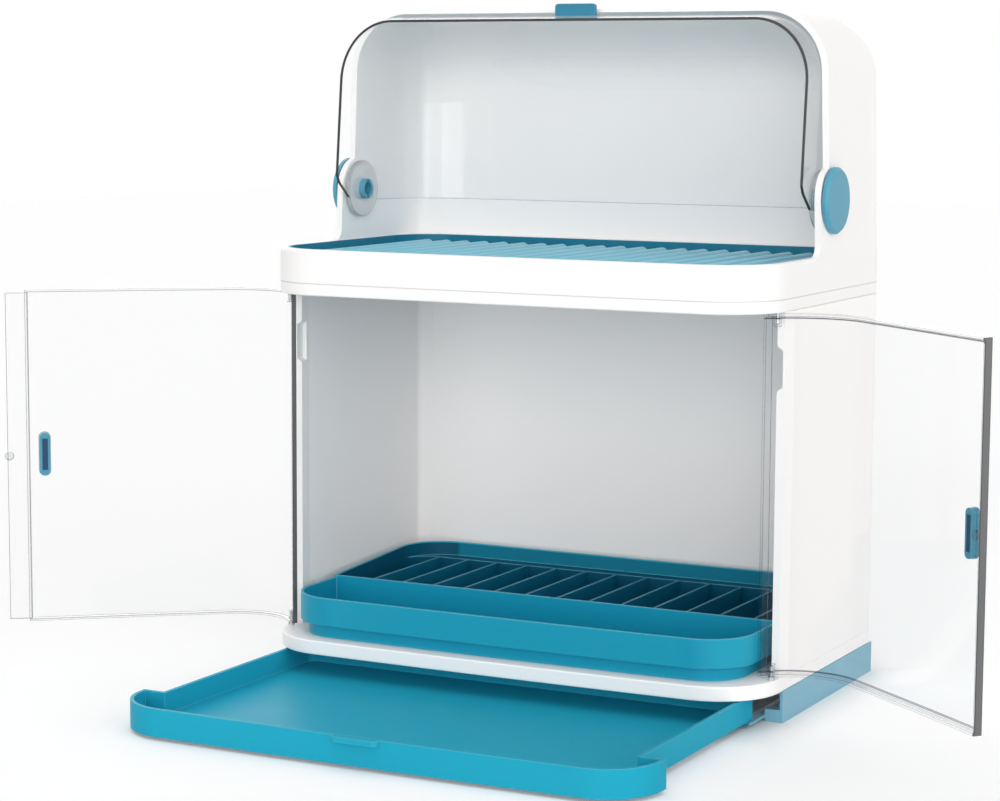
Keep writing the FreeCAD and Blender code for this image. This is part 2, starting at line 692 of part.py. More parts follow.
drain_opening(cabinet_top, seam + cell("lip_rise"), cell("top_thick"))
sketch = new_sketch(cabinet_top, "top_pin_holes", "XY_Plane", wall_top)
for side in (1, -1):
    circle(sketch, hinge_x * side, hinge_y, cell("pin_radius") + cell("running_fit"))
pocket(sketch, cell("pin_seat") + 1, upwards=True)
sketch = new_sketch(cabinet_top, "top_screw_holes", "XY_Plane", seam)
for side in (1, -1):
    for y in screw_ys:
        circle(sketch, screw_x * side, y, cell("screw_radius") + cell("running_fit"))
pocket(sketch, cell("top_thick") + 1)
sketch = new_sketch(cabinet_top, "top_screw_seats", "XY_Plane", seam)
for side in (1, -1):
    for y in screw_ys:
        circle(sketch, screw_x * side, y, cell("screw_head") + cell("seat_gap") / 4)
pocket(sketch, cell("screw_head_tall") + cell("seat_gap"))
subpart(cabinet_top)


# Upper housing: one moulding of the upper deck, the two arms round the pivots and the hood

def hood_block(label, inset_side, inset_top, front, corner, back_round, side_round, low):
    """A block with leaning sides and a rounded top, rounded into its back by a growing radius."""
    block = new_body(label)
    back = half_depth - inset_top
    lean = cell("hood_lean")
    sketch = new_sketch(block, label + "_profile", "XZ_Plane", -back)
    closed_profile(sketch, (
        (-half_width + inset_side, low, None), (half_width - inset_side, low, None),
        (half_width - lean - inset_side, hood_top - inset_top, None),
        (-half_width + lean + inset_side, hood_top - inset_top, None)))
    pad(sketch, back - front)
    fillet(block, label + "_corners", corner,
           lambda edge: runs_along(edge, "Y") and edge.BoundBox.ZMin > pivot_z.number)
    document.recompute()
    rounded = document.addObject("Part::Fillet", label + "_rounded")
    rounded.Base = block
    middle = (rim_top + pivot_z).number / 2
    radii = []
    for number, edge in enumerate(block.Shape.Edges, start=1):
        if not is_at(edge, "Y", back) or is_at(edge, "Z", low):
            continue
        if runs_along(edge, "X"):
            radii.append((number, back_round.number, back_round.number))
        elif edge.BoundBox.ZMin < middle:
            radii.append((number, side_round.number, side_round.number))
        else:
            rising = edge.valueAt(edge.FirstParameter).z < edge.valueAt(edge.LastParameter).z
            ends = (side_round.number, back_round.number)
            radii.append((number, *(ends if rising else ends[::-1])))
    rounded.Edges = radii
    document.recompute()
    return rounded


def upper_housing():
    hood_y = front_plane + cell("hood_front")
    arm_y = pivot_y - cell("arm_radius")
    outer = hood_block("hood_outer", nothing(), nothing(), arm_y - cell("arm_root"), cell("hood_corner"),
                       cell("hood_back_round"), cell("hood_side_round"), rim_top - cell("housing_round") * 2)
    inner = hood_block("hood_inner", cell("hood_side_wall"), cell("hood_wall"), front_plane,
                       cell("hood_corner") - cell("hood_wall"),
                       cell("hood_back_round") - cell("hood_wall"),
                       cell("hood_side_round") - cell("hood_wall"), rim_top)

    front_cut = new_body("arm_profile")
    far = front_plane * 1.5
    sketch = new_sketch(front_cut, "arm_side", "YZ_Plane")
    closed_profile(sketch, ((far, rim_top, None), (arm_y, rim_top, None), (arm_y, pivot_z, None),
                            (hood_y, pivot_z, None), (hood_y, hood_top + 20, None),
                            (far, hood_top + 20, None)))
    pad(sketch, cell("cab_width") * 1.2, both=True)
    fillet(front_cut, "arm_roots", cell("arm_root"),
           lambda edge: runs_along(edge, "X") and is_at(edge, "Y", arm_y) and is_at(edge, "Z", rim_top))
    arm_round = cylinder("arm_round", (-half_width * 1.2, pivot_y, pivot_z), cell("arm_radius"),
                         cell("cab_width") * 1.2, along="X")
    front_space = cut("hood_front_space", front_cut, arm_round)
    shell = cut("hood_and_arms", outer, front_space)

    deck = new_body("upper_deck")
    sketch = new_sketch(deck, "upper_deck_outline", "XY_Plane", seam)
    outline(sketch, nothing())
    pad(sketch, rim_top - seam)
    fillet(deck, "upper_deck_edge", cell("housing_round"), lambda edge: is_at(edge, "Z", rim_top))
    blank = fuse("housing_blank", [shell, deck])

    well = new_body("rack_well")
    sketch = new_sketch(well, "well_outline", "XY_Plane", seam + cell("housing_cavity") + cell("housing_floor"))
    outline(sketch, cell("housing_rim"), back=half_depth - cell("upper_rack_back") + cell("seat_gap"),
            back_radius=cell("upper_rack_radius") + cell("seat_gap"))
    pad(sketch, rim_top - seam - cell("housing_cavity") - cell("housing_floor") + 1)
    cavity = new_body("housing_cavity_space")
    sketch = new_sketch(cavity, "cavity_outline", "XY_Plane", seam - 1)
    outline(sketch, cell("housing_rim"))
    pad(sketch, cell("housing_cavity") + 1)
    drain = new_body("housing_drain_space")
    sketch = new_sketch(drain, "housing_drain", "XY_Plane", seam - 1)
    rectangle(sketch, -cell("drain_wide") / 2, cell("drain_wide") / 2, -cell("drain_deep") / 2,
              cell("drain_deep") / 2, cell("drain_radius"))
    pad(sketch, cell("housing_cavity") + cell("housing_floor") + 2)
    bores = cylinder("pivot_bores", (-half_width * 1.1, pivot_y, pivot_z),
                     cell("hub_radius") + cell("running_fit"), cell("cab_width") * 1.1, along="X")
    hollows = fuse("housing_hollows", [inner, well, cavity, drain, bores])
    return cut("upper_housing", blank, hollows)


housing = subpart(upper_housing())


# Upper rack: a drop-in tray whose floor is a row of slats

upper_rack = new_body("upper_rack")
rack_gap = cell("housing_rim") + cell("seat_gap")
upper_rack_floor = seam + cell("housing_cavity") + cell("housing_floor")
upper_rack_top = upper_rack_floor + cell("upper_rack_rise")
upper_back = half_depth - cell("upper_rack_back")
sketch = new_sketch(upper_rack, "upper_rack_outline", "XY_Plane", upper_rack_floor)
outline(sketch, rack_gap, back=upper_back, back_radius=cell("upper_rack_radius"))
pad(sketch, cell("upper_rack_rise"))
slat_top = upper_rack_top - cell("slat_drop")
wall_inset = rack_gap + cell("upper_rack_wall")
inner_back = upper_back - cell("upper_rack_wall")
inner_round = cell("upper_rack_radius") - cell("upper_rack_wall")
sketch = new_sketch(upper_rack, "upper_rack_tray", "XY_Plane", upper_rack_top)
outline(sketch, wall_inset, back=inner_back, back_radius=inner_round)
pocket(sketch, cell("slat_drop"))
sketch = new_sketch(upper_rack, "upper_rack_hollow", "XY_Plane", upper_rack_floor)
outline(sketch, wall_inset, back=inner_back, back_radius=inner_round)
pocket(sketch, slat_top - cell("slat_thick") - upper_rack_floor, upwards=True)
sketch = new_sketch(upper_rack, "slat_slots", "XY_Plane", slat_top)
for i in range(UPPER_SLOTS):
    middle = cell("slat_pitch") * (i - (UPPER_SLOTS - 1) / 2)
    rectangle(sketch, middle - cell("slat_gap") / 2, middle + cell("slat_gap") / 2,
              front_plane + cell("slat_front"), upper_back - cell("slat_back"))
pocket(sketch, cell("slat_thick") + 1)
fillet(upper_rack, "slat_ends", cell("slat_gap") / 2.2,
       lambda edge: runs_along(edge, "Z") and edge.BoundBox.ZLength < cell("slat_thick").number + 0.1
       and abs(edge.BoundBox.XMin) < half_width.number - 14
       and (is_at(edge, "Y", front_plane + cell("slat_front"))
            or is_at(edge, "Y", upper_back - cell("slat_back"))))
subpart(upper_rack)


# Visor: a clear shell with cheeks, turning about the two pivots

def visor_profile(sketch, inset, past):
    """Side profile of the visor; the open sides run past the shell where it is hollowed."""
    reach = cell("visor_reach") - inset
    back_y = half_depth - cell("visor_back") - inset
    lip_y = pivot_y - cell("visor_lip") - past
    toe_y = pivot_y - cell("visor_toe") - past
    back_rise = math.sqrt(reach.number ** 2 - (back_y - pivot_y).number ** 2)
    lip_rise = math.sqrt(reach.number ** 2 - (lip_y - pivot_y).number ** 2)
    drop_z = pivot_z - cell("visor_drop") - past * 3
    toe_z = pivot_z + cell("visor_toe_rise")
    back_point = Vector(back_y.number, pivot_z.number + back_rise, 0)
    lip_point = Vector(lip_y.number, pivot_z.number + lip_rise, 0)
    centre = Vector(pivot_y.number, pivot_z.number, 0)
    angles = [math.atan2(point.y - centre.y, point.x - centre.x) for point in (back_point, lip_point)]
    ring = Part.Circle(centre, Vector(0, 0, 1), reach.number)
    roof = sketch.addGeometry(Part.ArcOfCircle(ring, angles[0], angles[1]), False)
    if past.number:
        corners = [lip_point, Vector(toe_y.number, drop_z.number, 0), Vector(back_y.number, drop_z.number, 0),
                   back_point]
    else:
        corners = [lip_point, Vector(toe_y.number, toe_z.number, 0),
                   Vector(toe_y.number + 4, toe_z.number - 7, 0), Vector(toe_y.number + 20, pivot_z.number - 7, 0),
                   Vector(pivot_y.number, drop_z.number + 2, 0), Vector(back_y.number, drop_z.number, 0), back_point]
    previous, end = roof, 2
    for start_point, end_point in zip(corners, corners[1:]):
        line = sketch.addGeometry(Part.LineSegment(start_point, end_point), False)
        sketch.addConstraint(Sketcher.Constraint("Coincident", previous, end, line, 1))
        previous, end = line, 2
    sketch.addConstraint(Sketcher.Constraint("Coincident", previous, 2, roof, 1))
    dimension(sketch, "DistanceX", ORIGIN_POINT, (roof, 3), pivot_y)
    dimension(sketch, "DistanceY", ORIGIN_POINT, (roof, 3), pivot_z)
    bound_radius(sketch, roof, reach)
    dimension(sketch, "DistanceX", ORIGIN_POINT, (previous, 1), back_y)
    dimension(sketch, "DistanceY", ORIGIN_POINT, (previous, 1), drop_z)
    sketch.addConstraint(Sketcher.Constraint("Vertical", previous))
    dimension(sketch, "DistanceX", ORIGIN_POINT, (roof, 2), lip_y)


def visor_block(label, inset, past):
    """A solid in the visor's form, drawn in by an inset, with all its bends rounded."""
    block = new_body(label)
    half = half_width - cell("visor_side") - inset
    back_y = half_depth - cell("visor_back") - inset
    sketch = new_sketch(block, label + "_side", "YZ_Plane")
    visor_profile(sketch, inset, past)
    pad(sketch, half * 2, both=True)
    fillet(block, label + "_bend", cell("visor_bend") - inset,
           lambda edge: runs_along(edge, "X") and is_at(edge, "Y", back_y) and edge.BoundBox.ZMin > pivot_z.number)
    fillet(block, label + "_corners", cell("visor_corner") - inset,
           lambda edge: (is_at(edge, "X", half) or is_at(edge, "X", -half))
           and edge.BoundBox.YMax > pivot_y.number and edge.BoundBox.ZMax > pivot_z.number + 20)
    return block


visor_shell = cut("visor_shell", visor_block("visor_outside", nothing(), nothing()),
                  visor_block("visor_inside", cell("visor_thick"), Size(12.0, "12")))
disc_thick = cell("visor_thick") + cell("disc_boss")
disc_in = half_width - cell("visor_side") - cell("visor_thick")
discs = [cylinder("disc_right", (disc_in, pivot_y, pivot_z), cell("disc_radius"), disc_thick, along="X"),
         cylinder("disc_left", (-disc_in - disc_thick, pivot_y, pivot_z), cell("disc_radius"), disc_thick,
                  along="X")]
sleeve_holes = cylinder("sleeve_holes", (-half_width, pivot_y, pivot_z),
                        cell("sleeve_radius") + cell("running_fit"), cell("cab_width"), along="X")
visor = cut("visor", fuse("visor_with_discs", [visor_shell, *discs]), sleeve_holes)
subpart(visor)


# Visor handle: an upright tab near the middle of the free edge, with a foot that follows the roof

tab_front = pivot_y - cell("visor_lip") + cell("tab_back")
tab_low = pivot_z + cell("visor_reach") - cell("tab_rise")
tab_high = pivot_z + cell("visor_reach") + cell("tab_rise") - cell("tab_foot_thick")
handle_block = new_body("handle_block")
sketch = new_sketch(handle_block, "handle_side", "YZ_Plane")
closed_profile(sketch, (
    (tab_front, tab_low, None), (tab_front + cell("tab_foot"), tab_low, None),
    (tab_front + cell("tab_foot"), pivot_z + cell("visor_reach"), None),
    (tab_front + cell("tab_thick"), pivot_z + cell("visor_reach"), None),
    (tab_front + cell("tab_thick"), tab_high, None), (tab_front, tab_high, None)))
pad(sketch, cell("tab_wide"), both=True)
fillet(handle_block, "handle_corners", cell("tab_round"),
       lambda edge: runs_along(edge, "Y") and is_at(edge, "Z", tab_high))
fillet(handle_block, "handle_edges", cell("tab_thick") / 6, lambda edge: is_at(edge, "Y", tab_front))
roof_space = cylinder("roof_space", (-cell("tab_wide"), pivot_y, pivot_z),
                      cell("visor_reach") + cell("running_fit"), cell("tab_wide") * 2, along="X")
subpart(cut("visor_handle", handle_block, roof_space))


# Pivot knobs and pins: the knob's hub turns in the arm, the hollow pin holds the visor's disc

knob_in = half_width - cell("knob_gap")
disc_out = half_width - cell("visor_side") + cell("disc_boss")


def pivot_knob():
    knob = new_body("knob_disc")
    sketch = new_sketch(knob, "knob_plan", "YZ_Plane", knob_in)
    circle(sketch, pivot_y, pivot_z, cell("knob_radius"))
    pad(sketch, cell("knob_thick"))
    outer = knob_in + cell("knob_thick")
    fillet(knob, "knob_rim", cell("knob_bevel"), lambda edge: is_at(edge, "X", outer, 0.01),
           kind="PartDesign::Chamfer")
    hub_in = disc_out + cell("running_fit")
    hub = cylinder("knob_hub", (hub_in, pivot_y, pivot_z), cell("hub_radius"), knob_in - hub_in + 1,
                   along="X")
    return fuse("pivot_knob_right", [knob, hub])


def pivot_pin():
    inner_end = disc_in - cell("sleeve_inward")
    sleeve = cylinder("pin_sleeve", (inner_end, pivot_y, pivot_z), cell("sleeve_radius"),
                      disc_out - inner_end, along="X")
    bore = cylinder("pin_bore", (inner_end - 1, pivot_y, pivot_z), cell("sleeve_bore"),
                    disc_out - inner_end + 2, along="X")
    slot_half = cell("sleeve_slot") / 2
    reach = cell("sleeve_radius") + 1
    slot = box("pin_slot", (inner_end - 1, inner_end + cell("sleeve_inward") * 0.6),
               (pivot_y - slot_half, pivot_y + slot_half), (pivot_z - reach, pivot_z + reach))
    return cut("pivot_pin_right", sleeve, fuse("pin_spaces", [bore, slot]))


with_mirror_twin(pivot_knob(), "pivot_knob_left")
with_mirror_twin(pivot_pin(), "pivot_pin_left")


# Doors: curved clear panels with flanges, each turning about two pins

door_low = deck_top + cell("door_gap")
door_high = wall_top - cell("door_top_gap")
door_front = front_plane + cell("door_inset")
door_back = front_plane + cell("door_end")
pull_x = cell("door_meeting") + cell("pull_from_edge")
pull_end = door_front + cell("door_thick") + cell("pull_inside")
strip_front = pull_end + cell("seat_gap")
strip_back = strip_front + cell("strip_thick")


def cosine(angle):
    return Size(math.cos(math.radians(angle.number)), f"cos({angle.text} * 1 deg)")


def sine(angle):
    return Size(math.sin(math.radians(angle.number)), f"sin({angle.text} * 1 deg)")


def open_with_door(thing):
    """Turns a piece of the right door about the hinge axis, from closed to open."""
    angle = cell("door_open")
    thing.Placement = Placement(Vector(), Rotation(Vector(0, 0, 1), angle.number))
    bind(thing, "Placement.Rotation.Angle", Size(angle.number, f"{angle.text} * 1 deg"))
    place(thing, hinge_x - hinge_x * cosine(angle) + hinge_y * sine(angle),
          hinge_y - hinge_x * sine(angle) - hinge_y * cosine(angle), nothing())
    document.recompute()
    return thing


def door():
    panel = new_body("door_right")
    height = door_high - door_low
    inset = cell("door_inset")
    sketch = new_sketch(panel, "door_outline", "XY_Plane", door_low)
    outline(sketch, inset)
    pad(sketch, height)
    sketch = new_sketch(panel, "door_opening", "XY_Plane", door_low)
    outline(sketch, inset + cell("door_flange"), back_radius=cell("edge_round"))
    pocket(sketch, height, upwards=True)
    sketch = new_sketch(panel, "door_hollow", "XY_Plane", door_low + cell("door_flange_thick"))
    outline(sketch, inset + cell("door_thick"))
    pocket(sketch, height - cell("door_flange_thick") * 2, upwards=True)
    far = cell("cab_width")
    sketch = new_sketch(panel, "door_half", "XY_Plane", door_low)
    rectangle(sketch, -far, cell("door_meeting"), -far, far)
    pocket(sketch, height, upwards=True)
    sketch = new_sketch(panel, "door_length", "XY_Plane", door_low)
    rectangle(sketch, -cell("door_meeting"), far, door_back, far)
    pocket(sketch, height, upwards=True)
    sketch = new_sketch(panel, "door_edges", "XY_Plane", door_low)
    rectangle(sketch, cell("door_meeting"), cell("door_meeting") + cell("door_flange_thick"),
              door_front + cell("door_thick") / 2, pull_end)
    side = half_width - inset
    rectangle(sketch, side - cell("door_stile"), side - cell("door_thick") / 2,
              door_back - cell("door_stile_wide"), door_back)
    pad(sketch, height)
    for number, level in enumerate((door_low, door_high - cell("pin_bite") - 2)):
        sketch = new_sketch(panel, f"door_knuckle_{number}", "XY_Plane", level)
        circle(sketch, hinge_x, hinge_y, cell("knuckle_radius"))
        pad(sketch, cell("pin_bite") + 2)
    for number, (level, upwards) in enumerate(((door_low, True), (door_high, False))):
        sketch = new_sketch(panel, f"door_pin_hole_{number}", "XY_Plane", level)
        circle(sketch, hinge_x, hinge_y, cell("pin_radius") + cell("running_fit"))
        pocket(sketch, cell("pin_bite") + 0.5, upwards=upwards)
    sketch = new_sketch(panel, "pull_slot", "XZ_Plane", -door_front + 1)
    pull_outline(sketch, -cell("seat_gap") / 4)
    pocket(sketch, cell("door_thick") * 2)
    return open_with_door(panel)


def pull_outline(sketch, inset):
    half = cell("pull_wide") / 2 - inset
    tall = cell("pull_tall") / 2 - inset
    rectangle(sketch, pull_x - half, pull_x + half, cell("door_mid") - tall, cell("door_mid") + tall,
              half * 0.95)


def door_pull():
    pull = new_body("door_pull_right")
    outside = -door_front + cell("pull_proud")
    depth = cell("pull_proud") + cell("door_thick") + cell("pull_inside")
    sketch = new_sketch(pull, "pull_plan", "XZ_Plane", outside)
    pull_outline(sketch, nothing())
    pad(sketch, depth, upwards=False)
    sketch = new_sketch(pull, "pull_recess", "XZ_Plane", outside)
    pull_outline(sketch, cell("pull_wall"))
    pocket(sketch, depth - cell("pull_wall"))
    fillet(pull, "pull_rim", cell("pull_wall") / 4, lambda edge: is_at(edge, "Y", -outside))
    return open_with_door(pull)


def door_catch(name, across, seat):
    catch = new_body(name)
    sketch = new_sketch(catch, name + "_plan", "XZ_Plane", -seat - cell("running_fit"))
    circle(sketch, across, cell("door_mid"), cell("catch_radius"))
    pad(sketch, cell("catch_long"), upwards=False)
    return open_with_door(catch)


def door_strip():
    """The strip that lies behind the other door, here in the right door's frame."""
    strip = new_body("door_strip")
    gap = cell("door_flange_thick") + cell("seat_gap")
    edge = cell("door_meeting")
    sketch = new_sketch(strip, "strip_plan", "XY_Plane", door_low + gap)
    closed_profile(sketch, (
        (-cell("strip_reach"), strip_front, None), (edge, strip_front, None), (edge, pull_end - 1, None),
        (edge + cell("strip_thick"), pull_end - 1, None), (edge + cell("strip_thick"), strip_back, None),
        (-cell("strip_reach"), strip_back, None)))
    pad(sketch, door_high - door_low - gap * 2)
    return open_with_door(strip)


def hinge_pins():
    low_end = deck_top - cell("pin_seat")
    shaft = cylinder("pin_low_shaft", (hinge_x, hinge_y, low_end), cell("pin_radius"),
                     cell("pin_seat") + cell("door_gap") + cell("pin_bite"))
    collar = cylinder("pin_low_collar", (hinge_x, hinge_y, deck_top + cell("running_fit")),
                      cell("knuckle_radius"), cell("door_gap") - cell("running_fit") * 2)
    low = fuse("hinge_pin_right_low", [shaft, collar])
    high = cylinder("hinge_pin_right_high", (hinge_x, hinge_y, door_high - cell("pin_bite")),
                    cell("pin_radius"), cell("pin_bite") + cell("door_top_gap") + cell("pin_seat"))
    high.Label = "hinge_pin_right_high"
    return low, high


door_right = subpart(door())
subpart(fuse("door_left", [mirrored("left_panel", door_right), mirrored("left_strip", door_strip())]))
with_mirror_twin(door_pull(), "door_pull_left")
subpart(door_catch("door_catch_right", cell("catch_from_edge"), door_front + cell("door_thick")))
subpart(mirrored("door_catch_left", door_catch("strip_catch", -cell("strip_catch"), strip_back)))
pin_low, pin_high = hinge_pins()
with_mirror_twin(pin_low, "hinge_pin_left_low")
with_mirror_twin(pin_high, "hinge_pin_left_high")


# Lower rack: a tub with a trough in front, a cross wall, a foot and slots that drain into the deck

rack_front = front_plane + cell("rack_front")
rack_back = half_depth - cell("rack_back")
rack_half = half_width - cell("rack_side")
cross_y = front_plane + cell("cross_wall")
divider_back = rack_back - cell("divider_back")
rack_low = deck_top + cell("seat_gap") / 4
tub_low = deck_top + cell("rack_foot")
tub_floor = tub_low + cell("rack_floor")


def rack_block(label, inset, low, high, back=None, back_radius=None):
    """An upright block in the rack's plan outline, drawn in by an inset."""
    block = new_body(label)
    side = rack_half - inset
    front = rack_front + inset
    front_round = cell("rack_radius") - inset
    back = rack_back - inset if back is None else back
    back_round = front_round if back_radius is None else back_radius
    sketch = new_sketch(block, label + "_plan", "XY_Plane", low)
    closed_profile(sketch, ((-side, front, front_round), (side, front, front_round),
                            (side, back, back_round), (-side, back, back_round)), cell("front_bow"))
    pad(sketch, high - low)
    return block


def lower_rack():
    above = cell("rack_rim") + 5
    tub = rack_block("rack_tub", nothing(), tub_low, cell("rack_rim"))
    fillet(tub, "tub_bottom_edge", cell("edge_round"), lambda edge: is_at(edge, "Z", tub_low))
    foot = rack_block("rack_foot_block", cell("rack_foot_inset"), rack_low, tub_low + 1)
    inner = cell("rack_wall")
    low_space = rack_block("rack_low_space", inner, tub_floor, above, divider_back,
                           cell("rack_step_radius"))
    high_space = rack_block("rack_high_space", inner, cell("divider_top"), above)
    foot_space = rack_block("rack_foot_space", cell("rack_foot_inset") + inner, rack_low - 1, tub_low)

    rim = new_body("rack_rim_space")
    far = cell("cab_depth")
    sketch = new_sketch(rim, "rim_line", "YZ_Plane")
    closed_profile(sketch, (
        (-far, cell("trough_rim"), None), (cross_y, cell("trough_rim"), None),
        (cross_y, cell("cross_rim"), None), (divider_back, cell("rack_rim"), None),
        (far, cell("rack_rim"), None), (far, above, None), (-far, above, None)))
    pad(sketch, cell("cab_width"), both=True)

    drains = new_body("rack_drain_space")
    sketch = new_sketch(drains, "rack_drains", "XY_Plane", tub_low - 1)
    middle_y = (cross_y + divider_back) / 2
    for i in range(RACK_DIVIDERS - 1):
        x = cell("divider_pitch") * (i - (RACK_DIVIDERS - 2) / 2)
        rectangle(sketch, x - cell("rack_drain_wide") / 2, x + cell("rack_drain_wide") / 2,
                  middle_y - cell("drain_slot_long") / 3, middle_y + cell("drain_slot_long") / 3)
    pad(sketch, cell("rack_floor") + 2)

    hollow_tub = cut("rack_hollow_tub", fuse("rack_blank", [tub, foot]),
                     fuse("rack_spaces", [low_space, high_space, foot_space, rim, drains]))
    side = rack_half - inner / 2
    pieces = [hollow_tub, box("rack_cross_wall", (-side, side), (cross_y, cross_y + inner),
                              (tub_floor - 1, cell("cross_rim")))]
    bow_size = bow_radius(rack_half - cell("rack_radius"), cell("front_bow"))
    for i in range(TROUGH_RIBS):
        x = cell("trough_rib_pitch") * (i - (TROUGH_RIBS - 1) / 2)
        start = rack_front + x * x / (bow_size * 2) + inner / 2
        pieces.append(box(f"trough_rib_{i}", (x - cell("trough_rib") / 2, x + cell("trough_rib") / 2),
                          (start, start + cell("trough_rib_deep") + inner / 2),
                          (tub_floor - 1, cell("trough_rim") - 2)))
    return fuse("lower_rack", pieces)


subpart(lower_rack())

for i in range(RACK_DIVIDERS):
    x = cell("divider_pitch") * (i - (RACK_DIVIDERS - 1) / 2)
    divider = box(f"rack_divider_{i + 1:02d}",
                  (x - cell("divider_thick") / 2, x + cell("divider_thick") / 2),
                  (cross_y + cell("rack_wall"), divider_back), (tub_floor, cell("divider_top")))
    divider.Label = f"rack_divider_{i + 1:02d}"
    subpart(divider)


# Drip tray: a shallow tray with a wide curved front, sliding on the ledges of the rails

ledge_top = cell("rail_ledge_low") + cell("rail_ledge_thick")
tray_low = ledge_top + cell("tray_gap")


def tray_outline(sketch, inset):
    wide = half_width - inset
    narrow = half_width - cell("tray_side") - inset
    front = front_plane + inset
    ear = front_plane + cell("tray_ear") - inset
    back = half_depth - cell("tray_back") - inset
    front_round = cell("tray_round") - inset
    back_round = cell("back_radius") - inset
    closed_profile(sketch, (
        (-wide, front, front_round), (wide, front, front_round), (wide, ear, None), (narrow, ear, None),
        (narrow, back, back_round), (-narrow, back, back_round), (-narrow, ear, None), (-wide, ear, None)),
        cell("front_bow"))


def skirt_outline(sketch, inset, back):
    wide = half_width - inset
    front_round = cell("tray_round") - inset
    front = front_plane + inset
    closed_profile(sketch, ((-wide, front, front_round), (wide, front, front_round),
                            (wide, back, None), (-wide, back, None)), cell("front_bow"))


def drip_tray():
    tray = new_body("drip_tray")
    ear = front_plane + cell("tray_ear")
    sketch = new_sketch(tray, "tray_plan", "XY_Plane", tray_low)
    tray_outline(sketch, nothing())
    pad(sketch, cell("tray_top") - tray_low)
    sketch = new_sketch(tray, "tray_skirt", "XY_Plane", cell("tray_low"))
    skirt_outline(sketch, nothing(), ear)
    pad(sketch, tray_low + cell("tray_floor") - cell("tray_low"))
    lip_half = cell("lip_wide") / 2
    lip_front = front_plane - cell("lip_out")
    lip_back = front_plane + cell("tray_wall") / 2
    lip_round = cell("lip_out") * 0.8
    sketch = new_sketch(tray, "finger_lip", "XY_Plane", cell("tray_top") - cell("lip_tall"))
    closed_profile(sketch, ((-lip_half, lip_front, lip_round), (lip_half, lip_front, lip_round),
                            (lip_half, lip_back, None), (-lip_half, lip_back, None)))
    pad(sketch, cell("lip_tall"))
    sketch = new_sketch(tray, "tray_hollow", "XY_Plane", cell("tray_top"))
    tray_outline(sketch, cell("tray_wall"))
    pocket(sketch, cell("tray_top") - tray_low - cell("tray_floor"))
    sketch = new_sketch(tray, "skirt_hollow", "XY_Plane", cell("tray_low"))
    skirt_outline(sketch, cell("tray_wall"), ear + 1)
    pocket(sketch, tray_low - cell("tray_low"), upwards=True)
    place(tray, nothing(), -cell("tray_out"), nothing())
    document.recompute()
    return tray


subpart(drip_tray())


# Rails: the outer wall stands on a foot, carries the deck on its flange and the tray on its ledge

def rail():
    body = new_body("rail_right")
    back = half_depth - 0.5
    foot_in = half_width - cell("rail_foot")
    ledge_in = foot_in - cell("rail_ledge")
    wall_in = half_width - cell("rail_wall")
    top = cell("rail_height")
    flange = cell("rail_height") - cell("rail_flange")
    sketch = new_sketch(body, "rail_profile", "XZ_Plane", -back)
    closed_profile(sketch, (
        (foot_in, nothing(), None), (half_width, nothing(), None), (half_width, top, None),
        (foot_in, top, None), (foot_in, flange, None), (wall_in, flange, None),
        (wall_in, cell("rail_foot_tall"), None), (foot_in, cell("rail_foot_tall"), None),
        (foot_in, ledge_top, None), (ledge_in, ledge_top, None),
        (ledge_in, cell("rail_ledge_low"), None), (foot_in, cell("rail_ledge_low"), None)))
    pad(sketch, cell("cab_depth") - cell("rail_front") - 0.5)
    sketch = new_sketch(body, "ledge_nose", "XZ_Plane", -(front_plane + cell("rail_front") + 1))
    rectangle(sketch, ledge_in, foot_in, cell("rail_ledge_low"), ledge_top)
    pad(sketch, cell("rail_front") + 1 - cell("rail_ledge_front"))
    for name, level, radius, length in (
            ("flange_holes", top, cell("screw_radius") + cell("running_fit"), cell("rail_flange") + 1),
            ("foot_holes", cell("rail_foot_tall"), cell("screw_head") * 1.5, cell("rail_foot_tall") + 1)):
        sketch = new_sketch(body, name, "XY_Plane", level)
        for y in rail_screw_ys:
            circle(sketch, rail_screw_x, y, radius)
        pocket(sketch, length)
    return body


with_mirror_twin(rail(), "rail_left")


# Screws: under the rails' flanges, from the deck into the walls and from the cabinet top into the walls

def screws(name, places, shaft, head):
    """A set of equal screws; shaft and head are pairs of levels."""
    rods = []
    for number, (x, y) in enumerate(places):
        rods.append(cylinder(f"{name}_shaft_{number}", (x, y, shaft[0]), cell("screw_radius"),
                             shaft[1] - shaft[0]))
        rods.append(cylinder(f"{name}_head_{number}", (x, y, head[0]), cell("screw_head"), head[1] - head[0]))
    return subpart(fuse(name, rods))


flange_low = cell("rail_height") - cell("rail_flange")
screws("rail_screws", [(rail_screw_x * side, y) for side in (1, -1) for y in rail_screw_ys],
       (flange_low - 1, cell("rail_height") + cell("deck_thick") * 0.8),
       (flange_low - cell("screw_head_tall"), flange_low))
wall_places = [(screw_x * side, y) for side in (1, -1) for y in screw_ys]
seat_high = cell("rail_height") + cell("screw_head_tall") + cell("seat_gap")
screws("wall_screws", wall_places, (seat_high - 1, deck_top + cell("screw_bite")),
       (seat_high - cell("screw_head_tall"), seat_high))
seat_low = seam - cell("screw_head_tall") - cell("seat_gap")
screws("top_screws", wall_places, (wall_top - cell("screw_bite"), seat_low + 1),
       (seat_low, seat_low + cell("screw_head_tall")))


# Checks and files: one STEP file for each piece

document.recompute()
for thing in document.Objects:
    if "Invalid" in thing.State or "Error" in thing.State:
        raise RuntimeError(f"{thing.Label} does not compute")
for thing in subparts:
    if thing.Shape.isNull() or not thing.Shape.isValid() or not thing.Shape.Solids:
        raise RuntimeError(f"{thing.Label} has no sound shape")
os.makedirs("parts", exist_ok=True)
for thing in subparts:
    thing.Shape.exportStep(f"parts/{thing.Label}.step")
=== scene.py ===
import math

import bmesh
import bpy
import numpy as np
from mathutils import Matrix, Vector


